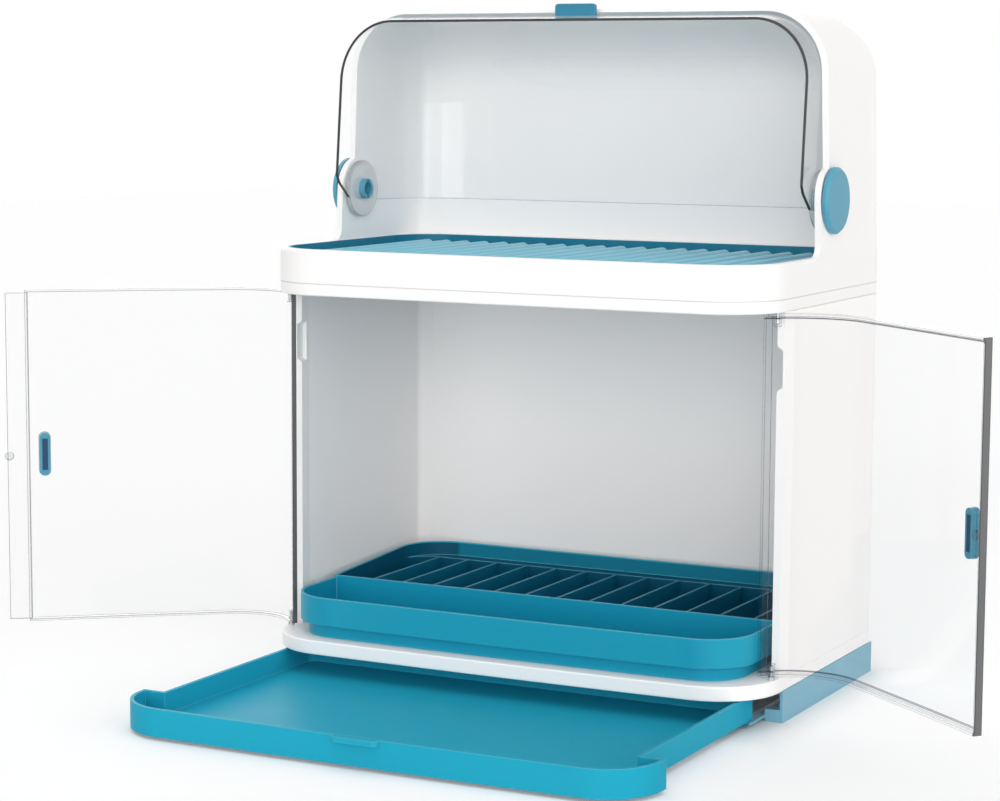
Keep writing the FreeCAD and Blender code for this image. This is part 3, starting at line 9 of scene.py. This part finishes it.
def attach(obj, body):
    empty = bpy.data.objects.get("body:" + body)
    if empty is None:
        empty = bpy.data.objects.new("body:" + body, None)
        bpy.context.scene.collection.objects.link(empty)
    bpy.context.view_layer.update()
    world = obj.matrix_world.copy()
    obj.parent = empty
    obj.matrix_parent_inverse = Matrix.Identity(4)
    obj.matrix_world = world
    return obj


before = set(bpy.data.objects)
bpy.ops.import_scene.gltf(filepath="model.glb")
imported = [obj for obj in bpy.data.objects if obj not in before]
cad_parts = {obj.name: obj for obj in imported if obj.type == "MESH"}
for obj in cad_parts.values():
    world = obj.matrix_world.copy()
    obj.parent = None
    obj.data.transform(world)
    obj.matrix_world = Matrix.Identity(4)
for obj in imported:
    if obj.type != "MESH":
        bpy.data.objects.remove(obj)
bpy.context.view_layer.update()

# The white shell: base deck, side walls, back panel, cabinet top and the housing with its hood.
# Each is an injection moulding in opaque white plastic with a fine satin skin; they are screwed and
# slotted together, and the hood, the arms and the upper deck are one piece.


def new_finish(name):
    """An empty material with its output; returns the material and its tree."""
    finish = bpy.data.materials.new(name)
    finish.use_nodes = True
    finish.node_tree.nodes.clear()
    finish.node_tree.nodes.new("ShaderNodeOutputMaterial")
    return finish, finish.node_tree


def add_node(tree, kind, settings=(), **inputs):
    """A shader node with its settings and its inputs, each a value or another node's socket."""
    made = tree.nodes.new(kind)
    for key, value in dict(settings).items():
        setattr(made, key, value)
    for key, value in inputs.items():
        socket = made.inputs[int(key[1:])] if key[0] == "_" else made.inputs[key.replace("_", " ")]
        if isinstance(value, bpy.types.NodeSocket):
            tree.links.new(value, socket)
        else:
            socket.default_value = value
    return made


def math_node(tree, operation, first, second=0.0, clamp=False):
    """One step of arithmetic on two values or sockets."""
    return add_node(tree, "ShaderNodeMath", {"operation": operation, "use_clamp": clamp},
                    _0=first, _1=second).outputs[0]


def vector_node(tree, operation, first, second=(0, 0, 0)):
    """One step of arithmetic on two vectors or sockets."""
    made = add_node(tree, "ShaderNodeVectorMath", {"operation": operation}, _0=first, _1=second)
    return made.outputs["Value" if operation == "DOT_PRODUCT" else "Vector"]


def ramp(tree, value, start, end, low=0.0, high=1.0):
    """A value's way from start to end, laid over the way from low to high."""
    return add_node(tree, "ShaderNodeMapRange", _0=value, _1=start, _2=end, _3=low, _4=high).outputs[0]


def blend(tree, mask, under, over):
    """A tone or socket with another tone over it where a mask is 1."""
    below = under if isinstance(under, bpy.types.NodeSocket) else (*under, 1)
    return add_node(tree, "ShaderNodeMixRGB", Fac=mask, Color1=below, Color2=(*over, 1)).outputs[0]


def place_on_piece(tree):
    """The point's place in the piece's own metres."""
    return tree.nodes.new("ShaderNodeTexCoord").outputs["Object"]


def parts_of(tree, vector):
    """The three parts of a vector."""
    return add_node(tree, "ShaderNodeSeparateXYZ", _0=vector).outputs


def noise(tree, scale, detail):
    """Even noise in the piece's own space."""
    return add_node(tree, "ShaderNodeTexNoise", Vector=place_on_piece(tree), Scale=scale,
                    Detail=detail).outputs[0]


def distance_from_level(tree, level):
    """How far a point is above or below a height."""
    height = parts_of(tree, place_on_piece(tree))[2]
    return math_node(tree, "ABSOLUTE", math_node(tree, "SUBTRACT", height, level))


def soft_edge(tree, radius):
    """The normal of edges rounded by a radius, and a mask that grows towards each edge."""
    rounded = add_node(tree, "ShaderNodeBevel", {"samples": 6}, Radius=radius).outputs[0]
    flat = tree.nodes.new("ShaderNodeNewGeometry").outputs["True Normal"]
    return rounded, ramp(tree, vector_node(tree, "DOT_PRODUCT", rounded, flat), 1.0, 0.8)


def moulded_skin(tree, normal, grain, depth):
    """Fine grain of a mould's surface laid over a normal."""
    return add_node(tree, "ShaderNodeBump", Height=noise(tree, grain, 3.0), Strength=0.35,
                    Distance=depth, Normal=normal).outputs[0]


def box_mask(tree, low, high, corner=0.0, softness=0.0002):
    """1 inside a box of the piece's own space, given by its two corners and by the radius of its
    upright edges, and 0 outside it."""
    centre = [(a + b) / 2 for a, b in zip(low, high)]
    half = [(b - a) / 2 - inset for a, b, inset in zip(low, high, (corner, corner, 0.0))]
    reach = vector_node(tree, "ABSOLUTE", vector_node(tree, "SUBTRACT", place_on_piece(tree), centre))
    across, deep, tall = parts_of(tree, vector_node(tree, "SUBTRACT", reach, half))
    most = math_node(tree, "MAXIMUM", across, deep)
    if corner:
        sides = [math_node(tree, "POWER", math_node(tree, "MAXIMUM", part, 0.0), 2.0)
                 for part in (across, deep)]
        rounded = math_node(tree, "SQRT", math_node(tree, "ADD", *sides))
        most = math_node(tree, "SUBTRACT", rounded, corner)
    return ramp(tree, math_node(tree, "MAXIMUM", most, tall), softness, -softness)


def slot_shade_mask(tree, centre, along, half_width, half_height):
    """1 inside an upright slot about a centre, as wide as given along a level direction."""
    offset = vector_node(tree, "SUBTRACT", place_on_piece(tree), centre)
    sideways = math_node(tree, "ABSOLUTE", vector_node(tree, "DOT_PRODUCT", offset, along))
    upwards = math_node(tree, "ABSOLUTE", parts_of(tree, offset)[2])
    out_side = math_node(tree, "SUBTRACT", sideways, half_width)
    out_end = math_node(tree, "SUBTRACT", upwards, half_height)
    return ramp(tree, math_node(tree, "MAXIMUM", out_side, out_end), 0.0004, -0.0002)


def moulded_plastic(name, light, deep, roughness, gloss=0.3, edge=None, radius=0.0, seam=None,
                    boxes=(), slot=None):
    """Solid plastic: two close tones in slow drifts, perhaps painted shade inside boxes, a painted
    highlight on the edges, a dark joint along a level seam at a height or painted shade in an upright
    slot, and a fine grain."""
    finish, tree = new_finish(name)
    tones = blend(tree, noise(tree, 5.0, 1.0), light, deep)
    for low, high, corner, tone in boxes:
        tones = blend(tree, box_mask(tree, low, high, corner), tones, tone)
    rounded = tree.nodes.new("ShaderNodeNewGeometry").outputs["Normal"]
    # A lighter tone towards each edge: a painted highlight.
    if edge:
        rounded, near_edge = soft_edge(tree, radius)
        tones = blend(tree, near_edge, tones, edge)
    if seam:
        in_seam = ramp(tree, distance_from_level(tree, seam), 0.0006, 0.0002, 0.0, 0.45)
        tones = blend(tree, in_seam, tones, (0.25, 0.25, 0.26))
    # A dark navy inside the slot: painted shade in its hollow.
    if slot:
        tones = blend(tree, slot_shade_mask(tree, *slot), tones, (0.008, 0.055, 0.12))
    rough = ramp(tree, noise(tree, 14.0, 1.0), 0.3, 0.7, roughness - 0.02, roughness + 0.03)
    shader = add_node(tree, "ShaderNodeBsdfPrincipled", Base_Color=tones, Roughness=rough, IOR=1.5,
                      Specular_IOR_Level=gloss, Normal=moulded_skin(tree, rounded, 900.0, 0.00003))
    tree.links.new(shader.outputs[0], tree.nodes["Material Output"].inputs[0])
    return finish


def wear(finish, *names):
    """Gives CAD nodes a finish."""
    for name in names:
        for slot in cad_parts[name].material_slots:
            slot.material = finish


housing_seam = 0.3375
outer_white = moulded_plastic("white_shell", (0.910, 0.897, 0.887), (0.895, 0.882, 0.872), 0.42,
                              gloss=0.10, seam=housing_seam)
wear(outer_white, "cabinet_top", "upper_housing")
# The base deck, back panel and side walls wear a lighter copy of the white: painted light that lifts the
# shade inside the cabinet.
shade_lifted_white = moulded_plastic("shade_lifted_white", (0.945, 0.928, 0.917), (0.93, 0.913, 0.902), 0.45,
                              gloss=0.10)
wear(shade_lifted_white, "base_deck", "back_panel", "side_wall_right", "side_wall_left")

# The teal pieces: upper rack, lower rack with its plate dividers, drip tray, rails, pivot knobs and
# pins. They are mouldings in teal plastic; their thin rims are painted in a lighter teal than their
# floors, a painted highlight along every edge. The racks lie loose in their seats and the tray slides on
# the rails.

# Painted shade in the lower rack: a darker teal inside its walls, and a much darker one between the
# plate dividers.
rack_inside_shade = ((-0.2045, -0.1280, 0.0400), (0.2045, 0.1148, 0.0818), 0.0405, (0.008, 0.29, 0.44))
plate_space_shade = ((-0.2045, -0.0415, 0.0400), (0.2045, 0.1148, 0.0818), 0.0, (0.003, 0.085, 0.155))
rack_teal = moulded_plastic("rack_teal", (0.014, 0.335, 0.475), (0.012, 0.31, 0.445), 0.36, gloss=0.15,
                            edge=(0.17, 0.57, 0.71), radius=0.0013, boxes=(rack_inside_shade, plate_space_shade))
wear(rack_teal, "lower_rack")
# The plate dividers wear a darker copy of the rack's teal: painted shade between the close-set plates.
shaded_divider_teal = moulded_plastic("shaded_divider_teal", (0.005, 0.15, 0.26), (0.004, 0.13, 0.23), 0.36,
                               gloss=0.15, edge=(0.20, 0.62, 0.76), radius=0.0011)
divider_count = 13
wear(shaded_divider_teal, *(f"rack_divider_{i + 1:02d}" for i in range(divider_count)))
tray_teal = moulded_plastic("teal_plastic", (0.018, 0.375, 0.53), (0.015, 0.355, 0.505), 0.40,
                            gloss=0.05, edge=(0.13, 0.52, 0.66), radius=0.0011)
wear(tray_teal, "drip_tray")
# The upper rack wears a darker copy of the teal: painted shade in the gaps between its slats.
shaded_teal = moulded_plastic("shaded_teal", (0.006, 0.19, 0.30), (0.004, 0.16, 0.27), 0.36,
                              edge=(0.03, 0.30, 0.42), radius=0.0006)
wear(shaded_teal, "upper_rack")
# A darker teal on the rails' front end faces: painted shade.
rail_end_shade = ((-0.23, -0.106, -0.001), (0.23, -0.1030, 0.03), 0.0, (0.012, 0.20, 0.31))
rail_teal = moulded_plastic("rail_teal", (0.22, 0.45, 0.57), (0.18, 0.41, 0.53), 0.34,
                            edge=(0.30, 0.58, 0.68), radius=0.0011, boxes=(rail_end_shade,))
wear(rail_teal, "rail_right", "rail_left")
knob_teal = moulded_plastic("knob_teal", (0.085, 0.33, 0.45), (0.07, 0.29, 0.41), 0.36,
                            edge=(0.16, 0.42, 0.53), radius=0.0006)
wear(knob_teal, "pivot_knob_right", "pivot_knob_left", "pivot_pin_right", "pivot_pin_left")

# The crowns of the upper rack's slats: each slat of the drop-in rack ends above in a half-round ridge,
# so that wet dishes touch it along a line. They are moulded in one with the rack; they wear a lighter
# copy of its teal, a painted highlight on the ridges.


def rounded_bar(half_width, height, start, end, nose, across, along):
    """Grid of a bar along Y: its section is the upper half of an ellipse closed by a flat underside,
    and over the length of its nose at both ends the section shrinks as the square root of 1 - t
    squared."""
    steps = np.concatenate([start + nose * (1 - np.cos(np.linspace(0, np.pi / 2, along))),
                            end - nose * (1 - np.cos(np.linspace(np.pi / 2, 0, along)))])
    edge = np.clip(np.minimum(steps - start, end - steps) / nose, 0, 1)
    shrink = np.sqrt(1 - (1 - edge) ** 2)
    turn = np.linspace(0, np.pi, across)
    profile = np.stack([half_width * np.cos(turn), height * np.sin(turn)])
    return np.stack([np.outer(shrink, profile[0]), np.repeat(steps[:, None], across, 1),
                     np.outer(shrink, profile[1])], axis=-1)


def closed_grid(name, grids, finish):
    """One mesh of several grids of points; each grid is closed round its second parameter, and the
    points that fall together at its ends are merged."""
    faces, points, count = [], [], 0
    for grid in grids:
        rows, columns = grid.shape[:2]
        index = np.arange(rows * columns).reshape(rows, columns) + count
        around = np.roll(index, -1, axis=1)
        faces.append(np.stack([index[:-1], index[1:], around[1:], around[:-1]], axis=-1).reshape(-1, 4))
        points.append(grid.reshape(-1, 3))
        count += rows * columns
    mesh = bpy.data.meshes.new(name)
    mesh.from_pydata(np.concatenate(points).tolist(), [], np.concatenate(faces).tolist())
    shape = bmesh.new()
    shape.from_mesh(mesh)
    bmesh.ops.remove_doubles(shape, verts=shape.verts, dist=1e-6)
    bmesh.ops.dissolve_degenerate(shape, edges=shape.edges, dist=1e-7)
    bmesh.ops.recalc_face_normals(shape, faces=shape.faces)
    shape.to_mesh(mesh)
    shape.free()
    mesh.shade_smooth()
    mesh.materials.append(finish)
    thing = bpy.data.objects.new(name, mesh)
    bpy.context.collection.objects.link(thing)
    return thing


slat_count, slat_pitch, slat_top = 21, 0.01935, 0.3572
# A lighter teal for the ridges: painted light on the crowns.
lit_crown_teal = moulded_plastic("lit_crown_teal", (0.19, 0.56, 0.70), (0.16, 0.52, 0.66), 0.30)
crown = rounded_bar(half_width=0.0050, height=0.0047, start=-0.1140, end=0.1090, nose=0.0050,
                    across=13, along=8)
slat_crowns = closed_grid("slat_crowns", [
    crown + np.array([slat_pitch * (i - slat_count // 2), 0, slat_top]) for i in range(slat_count)
], lit_crown_teal)
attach(slat_crowns, "base")

# The small dark pieces: the visor's tab and the two door pulls, moulded in the same teal but thicker,
# so that they look darker; the tab is welded on by its foot, and the pulls are pressed into the doors.

tab_teal = moulded_plastic("dark_teal", (0.030, 0.22, 0.34), (0.022, 0.18, 0.29), 0.34,
                           edge=(0.10, 0.33, 0.45), radius=0.0007)
wear(tab_teal, "visor_handle")
door_turn = math.radians(140)
slot_half_width, slot_half_height = 0.0023, 0.0135
for side, name in ((1, "right"), (-1, "left")):
    pull_centre = Vector((0.4085 * side, -0.18505, 0.1855))
    door_line = Vector((math.cos(door_turn) * side, math.sin(door_turn), 0))
    # Each pull carries painted shade in its upright slot.
    pull_teal = moulded_plastic(f"pull_teal_{name}", (0.075, 0.28, 0.39), (0.06, 0.25, 0.36), 0.34,
                                edge=(0.16, 0.42, 0.55), radius=0.0007,
                                slot=(pull_centre, door_line, slot_half_width, slot_half_height))
    wear(pull_teal, f"door_pull_{name}")

# The clear pieces: visor, doors and catches, moulded in water-clear plastic about 2 mm thick. The sheet
# itself hardly shows; its cut edges and flanges are painted as grey lines, painted shade for the light
# the clear plastic bends away there.


def band_mask(tree, point, along, width, softness=0.0003):
    """1 where a place lies less than a width from a plane, measured along a direction."""
    offset = vector_node(tree, "SUBTRACT", place_on_piece(tree), point)
    return ramp(tree, vector_node(tree, "DOT_PRODUCT", offset, along), width, width - softness)


def disc_masks(tree, across, height, radius):
    """Two masks about an axis along X through a place: all of a disc, and the ring along its rim."""
    parts = parts_of(tree, place_on_piece(tree))
    sideways = math_node(tree, "POWER", math_node(tree, "SUBTRACT", parts[1], across), 2.0)
    upwards = math_node(tree, "POWER", math_node(tree, "SUBTRACT", parts[2], height), 2.0)
    reach = math_node(tree, "SQRT", math_node(tree, "ADD", sideways, upwards))
    from_rim = math_node(tree, "ABSOLUTE", math_node(tree, "SUBTRACT", reach, radius - 0.0011))
    return (ramp(tree, reach, radius, radius - 0.0005, 0.0, 0.42),
            ramp(tree, from_rim, 0.0014, 0.0005, 0.0, 0.55))


def plain_plastic(tree, tone, roughness):
    """Plain solid plastic laid into a clear piece: a painted dark band along an edge, a milky disc or
    its grey rim; the tone may be a socket.
    """
    colour = tone if isinstance(tone, bpy.types.NodeSocket) else (*tone, 1)
    return add_node(tree, "ShaderNodeBsdfPrincipled", Base_Color=colour, Roughness=roughness).outputs[0]


def laid_over(tree, mask, under, over):
    """A shader with another one over it where a mask is 1."""
    return add_node(tree, "ShaderNodeMixShader", _0=mask, _1=under, _2=over).outputs[0]


def clear_plastic(name, tint, edge_shade_tint, radius, dark_tone=None, dark_place=None, lines=(), disc=None):
    """Clear sheet: see-through with gloss on its outside, painted grey shade towards its edges and in
    thin level lines, a painted dark band along one edge, and perhaps milky in a disc with a painted grey
    rim."""
    finish, tree = new_finish(name)
    rounded, near_edge = soft_edge(tree, radius)
    # Grey towards the edges and in the level lines: painted shade.
    tone = blend(tree, near_edge, tint, edge_shade_tint)
    for level in lines:
        tone = blend(tree, ramp(tree, distance_from_level(tree, level), 0.0006, 0.0003), tone, edge_shade_tint)
    through = add_node(tree, "ShaderNodeBsdfTransparent", Color=tone).outputs[0]
    skin = moulded_skin(tree, rounded, 60.0, 0.00002)
    haze = ramp(tree, noise(tree, 9.0, 2.0), 0.3, 0.7, 0.03, 0.09)
    gloss = add_node(tree, "ShaderNodeBsdfGlossy", Color=(1, 1, 1, 1), Roughness=haze, Normal=skin)
    fresnel = add_node(tree, "ShaderNodeFresnel", IOR=1.35, Normal=skin).outputs[0]
    leaving = tree.nodes.new("ShaderNodeNewGeometry").outputs["Backfacing"]
    outside = math_node(tree, "SUBTRACT", 1.0, leaving, clamp=True)
    shown = laid_over(tree, math_node(tree, "MULTIPLY", fresnel, outside), through, gloss.outputs[0])
    if disc:
        in_disc, on_rim = disc_masks(tree, *disc)
        shown = laid_over(tree, in_disc, shown, plain_plastic(tree, (0.86, 0.87, 0.88), 0.4))
        shown = laid_over(tree, on_rim, shown, plain_plastic(tree, (0.42, 0.43, 0.44), 0.4))
    # The dark band along one edge, darker towards its rims: painted shade.
    if dark_tone:
        bordered = blend(tree, near_edge, dark_tone, [0.35 * channel for channel in dark_tone])
        shown = laid_over(tree, dark_place(tree), shown, plain_plastic(tree, bordered, 0.3))
    tree.links.new(shown, tree.nodes["Material Output"].inputs[0])
    return finish


visor_rim = 0.0011
leg_rim = 0.0010
lip = Vector((0, -0.0114, 0.556))
toe = Vector((0, -0.024, 0.423))
heel = Vector((0, -0.020, 0.416))
knee = Vector((0, -0.004, 0.403))
lip_inward, toe_inward, heel_inward = (Vector((0, (upper - lower).z, -(upper - lower).y)).normalized()
                                       for upper, lower in ((lip, toe), (toe, heel), (heel, knee)))


def free_edge_mask(tree):
    """1 along the visor's free edge: its long front and the two short legs below its toe."""
    front = band_mask(tree, lip, lip_inward, visor_rim)
    shin = band_mask(tree, toe, toe_inward, leg_rim)
    above_knee = band_mask(tree, knee, Vector((0, 0, -1)), 0.0)
    sole = math_node(tree, "MULTIPLY", band_mask(tree, heel, heel_inward, leg_rim), above_knee)
    return math_node(tree, "MAXIMUM", math_node(tree, "MAXIMUM", front, shin), sole)


pivot_disc = (0.021, 0.410, 0.0245)
visor_clear = clear_plastic("visor_clear", (0.996, 0.996, 0.997), (0.52, 0.53, 0.55), 0.0013,
                            (0.02, 0.021, 0.023), free_edge_mask, disc=pivot_disc)
wear(visor_clear, "visor")

hinge = Vector((0.221, -0.089, 0))
closed_edge = Vector((0.0006, -0.1385, 0))
opened = Matrix.Rotation(door_turn, 3, "Z")
free_edge = hinge + opened @ (closed_edge - hinge)
towards_hinge = opened @ Vector((1, 0, 0))
stile = Vector((-0.2117, 0, 0))
door_rim, stile_width = 0.0012, 0.0036
top_line, foot_line = 0.3232, 0.0448
right_clear = clear_plastic("door_clear_right", (0.992, 0.992, 0.993), (0.40, 0.41, 0.43), 0.0013,
                            (0.13, 0.132, 0.135),
                            lambda tree: band_mask(tree, free_edge, towards_hinge, door_rim),
                            lines=(top_line, foot_line))
wear(right_clear, "door_right")
left_clear = clear_plastic("door_clear_left", (0.992, 0.992, 0.993), (0.34, 0.35, 0.37), 0.0015,
                           (0.075, 0.077, 0.08),
                           lambda tree: band_mask(tree, stile, Vector((-1, 0, 0)), stile_width))
wear(left_clear, "door_left")
catch_clear = clear_plastic("catch_clear", (0.9, 0.91, 0.92), (0.40, 0.41, 0.43), 0.0014)
wear(catch_clear, "door_catch_right", "door_catch_left")

# Screws and hinge pins: plain steel, turned and left bright. The screws hold rails, deck, walls and top
# together from below and above, and the pins carry the doors.


def turned_steel(name):
    """Bright steel with fine rings from turning."""
    finish, tree = new_finish(name)
    grooves = add_node(tree, "ShaderNodeBump", Height=noise(tree, 2500.0, 2.0), Strength=0.3,
                       Distance=0.00003)
    shader = add_node(tree, "ShaderNodeBsdfPrincipled", Base_Color=(0.56, 0.56, 0.57, 1), Metallic=1.0,
                      Roughness=0.32, Normal=grooves.outputs[0])
    tree.links.new(shader.outputs[0], tree.nodes["Material Output"].inputs[0])
    return finish


wear(turned_steel("turned_steel"), "rail_screws", "wall_screws", "top_screws", "hinge_pin_right_low",
     "hinge_pin_right_high", "hinge_pin_left_low", "hinge_pin_left_high")

# The room: a plain white floor that keeps the rack's soft shadow, with a painted shadow in a soft box
# under the rack where its lift is held back, a white world, and five large soft lamps, in front, at the
# right in front, at the right, above and behind.

floor_mesh = bpy.data.meshes.new("floor")
floor_mesh.from_pydata([(-6, -6, 0), (6, -6, 0), (6, 9, 0), (-6, 9, 0)], [], [(0, 1, 2, 3)])
floor = bpy.data.objects.new("floor", floor_mesh)
bpy.context.collection.objects.link(floor)
floor_finish, floor_tree = new_finish("floor_white")
floor_paint = add_node(floor_tree, "ShaderNodeBsdfDiffuse", Color=(0.9, 0.9, 0.9, 1))
floor_sight = floor_tree.nodes.new("ShaderNodeLightPath").outputs["Is Camera Ray"]
floor_glow = 0.17
# The lift is held back in a soft box under the rack: a painted shadow there.
painted_shadow_under_rack = box_mask(floor_tree, (-0.235, -0.14, -0.1), (0.235, 0.15, 0.1), softness=0.02)
beside_rack = math_node(floor_tree, "SUBTRACT", 1.0, painted_shadow_under_rack)
glow_seen = math_node(floor_tree, "MULTIPLY", floor_sight, floor_glow)
lift = math_node(floor_tree, "MULTIPLY", glow_seen, beside_rack)
floor_lift = add_node(floor_tree, "ShaderNodeEmission", Color=(1, 1, 1, 1), Strength=lift)
floor_sum = add_node(floor_tree, "ShaderNodeAddShader", _0=floor_paint.outputs[0],
                     _1=floor_lift.outputs[0])
floor_tree.links.new(floor_sum.outputs[0], floor_tree.nodes["Material Output"].inputs[0])
floor_mesh.materials.append(floor_finish)

world = bpy.data.worlds.new("studio")
world.use_nodes = True
sky = world.node_tree
sky.nodes.clear()
rays = sky.nodes.new("ShaderNodeLightPath")
seen = math_node(sky, "MAXIMUM", rays.outputs["Is Camera Ray"], rays.outputs["Is Glossy Ray"])
seen = math_node(sky, "MAXIMUM", seen, rays.outputs["Is Transmission Ray"])
ambient = add_node(sky, "ShaderNodeBackground", Color=(1, 1, 1, 1), Strength=0.31)
shown_white = add_node(sky, "ShaderNodeBackground", Color=(1, 1, 1, 1), Strength=1.0)
sky_out = sky.nodes.new("ShaderNodeOutputWorld")
sky.links.new(laid_over(sky, seen, ambient.outputs[0], shown_white.outputs[0]), sky_out.inputs[0])
bpy.context.scene.world = world


def soft_sun(name, place, strength, spread):
    """A distant soft lamp that shines from a place towards the rack; its spread is in degrees."""
    light = bpy.data.lights.new(name, "SUN")
    light.energy = strength
    light.angle = math.radians(spread)
    lamp = bpy.data.objects.new(name, light)
    lamp.location = place
    lamp.rotation_euler = (-Vector(place)).to_track_quat("-Z", "Y").to_euler()
    bpy.context.collection.objects.link(lamp)


soft_sun("front_lamp", (0.3, -2.6, 0.12), 1.65, 50)
soft_sun("right_front_lamp", (1.8, -1.9, 0.3), 1.00, 55)
soft_sun("right_lamp", (2.6, -0.2, 0.6), 0.90, 60)
soft_sun("top_lamp", (-0.3, -0.4, 3.0), 1.05, 80)
soft_sun("back_lamp", (-1.8, 2.0, 0.9), 0.80, 60)

# The camera stands to the right of the middle, a little above the hood, and looks back and slightly
# down. Its lens is given by the distance from eye to picture in the picture's own pixels.

azimuth, tilt, roll = math.radians(27.186), math.radians(6.931), math.radians(0.306)
ahead = Vector((-math.sin(azimuth) * math.cos(tilt), math.cos(azimuth) * math.cos(tilt),
                -math.sin(tilt)))
level = Vector((math.cos(azimuth), math.sin(azimuth), 0))
upright = level.cross(ahead)
right = level * math.cos(roll) + upright * math.sin(roll)
up = upright * math.cos(roll) - level * math.sin(roll)
eye = Matrix.Translation((0.9369, -1.9519, 0.4993))
picture_distance, picture_width = 2577.8, 1000
lens = bpy.data.cameras.new("camera")
lens.sensor_width = 36
lens.lens = picture_distance / picture_width * lens.sensor_width
lens.clip_end = 50
camera = bpy.data.objects.new("camera", lens)
camera.matrix_world = eye @ Matrix((right, up, -ahead)).transposed().to_4x4()
bpy.context.collection.objects.link(camera)
bpy.context.scene.camera = camera
bpy.context.scene.view_settings.view_transform = "Standard"
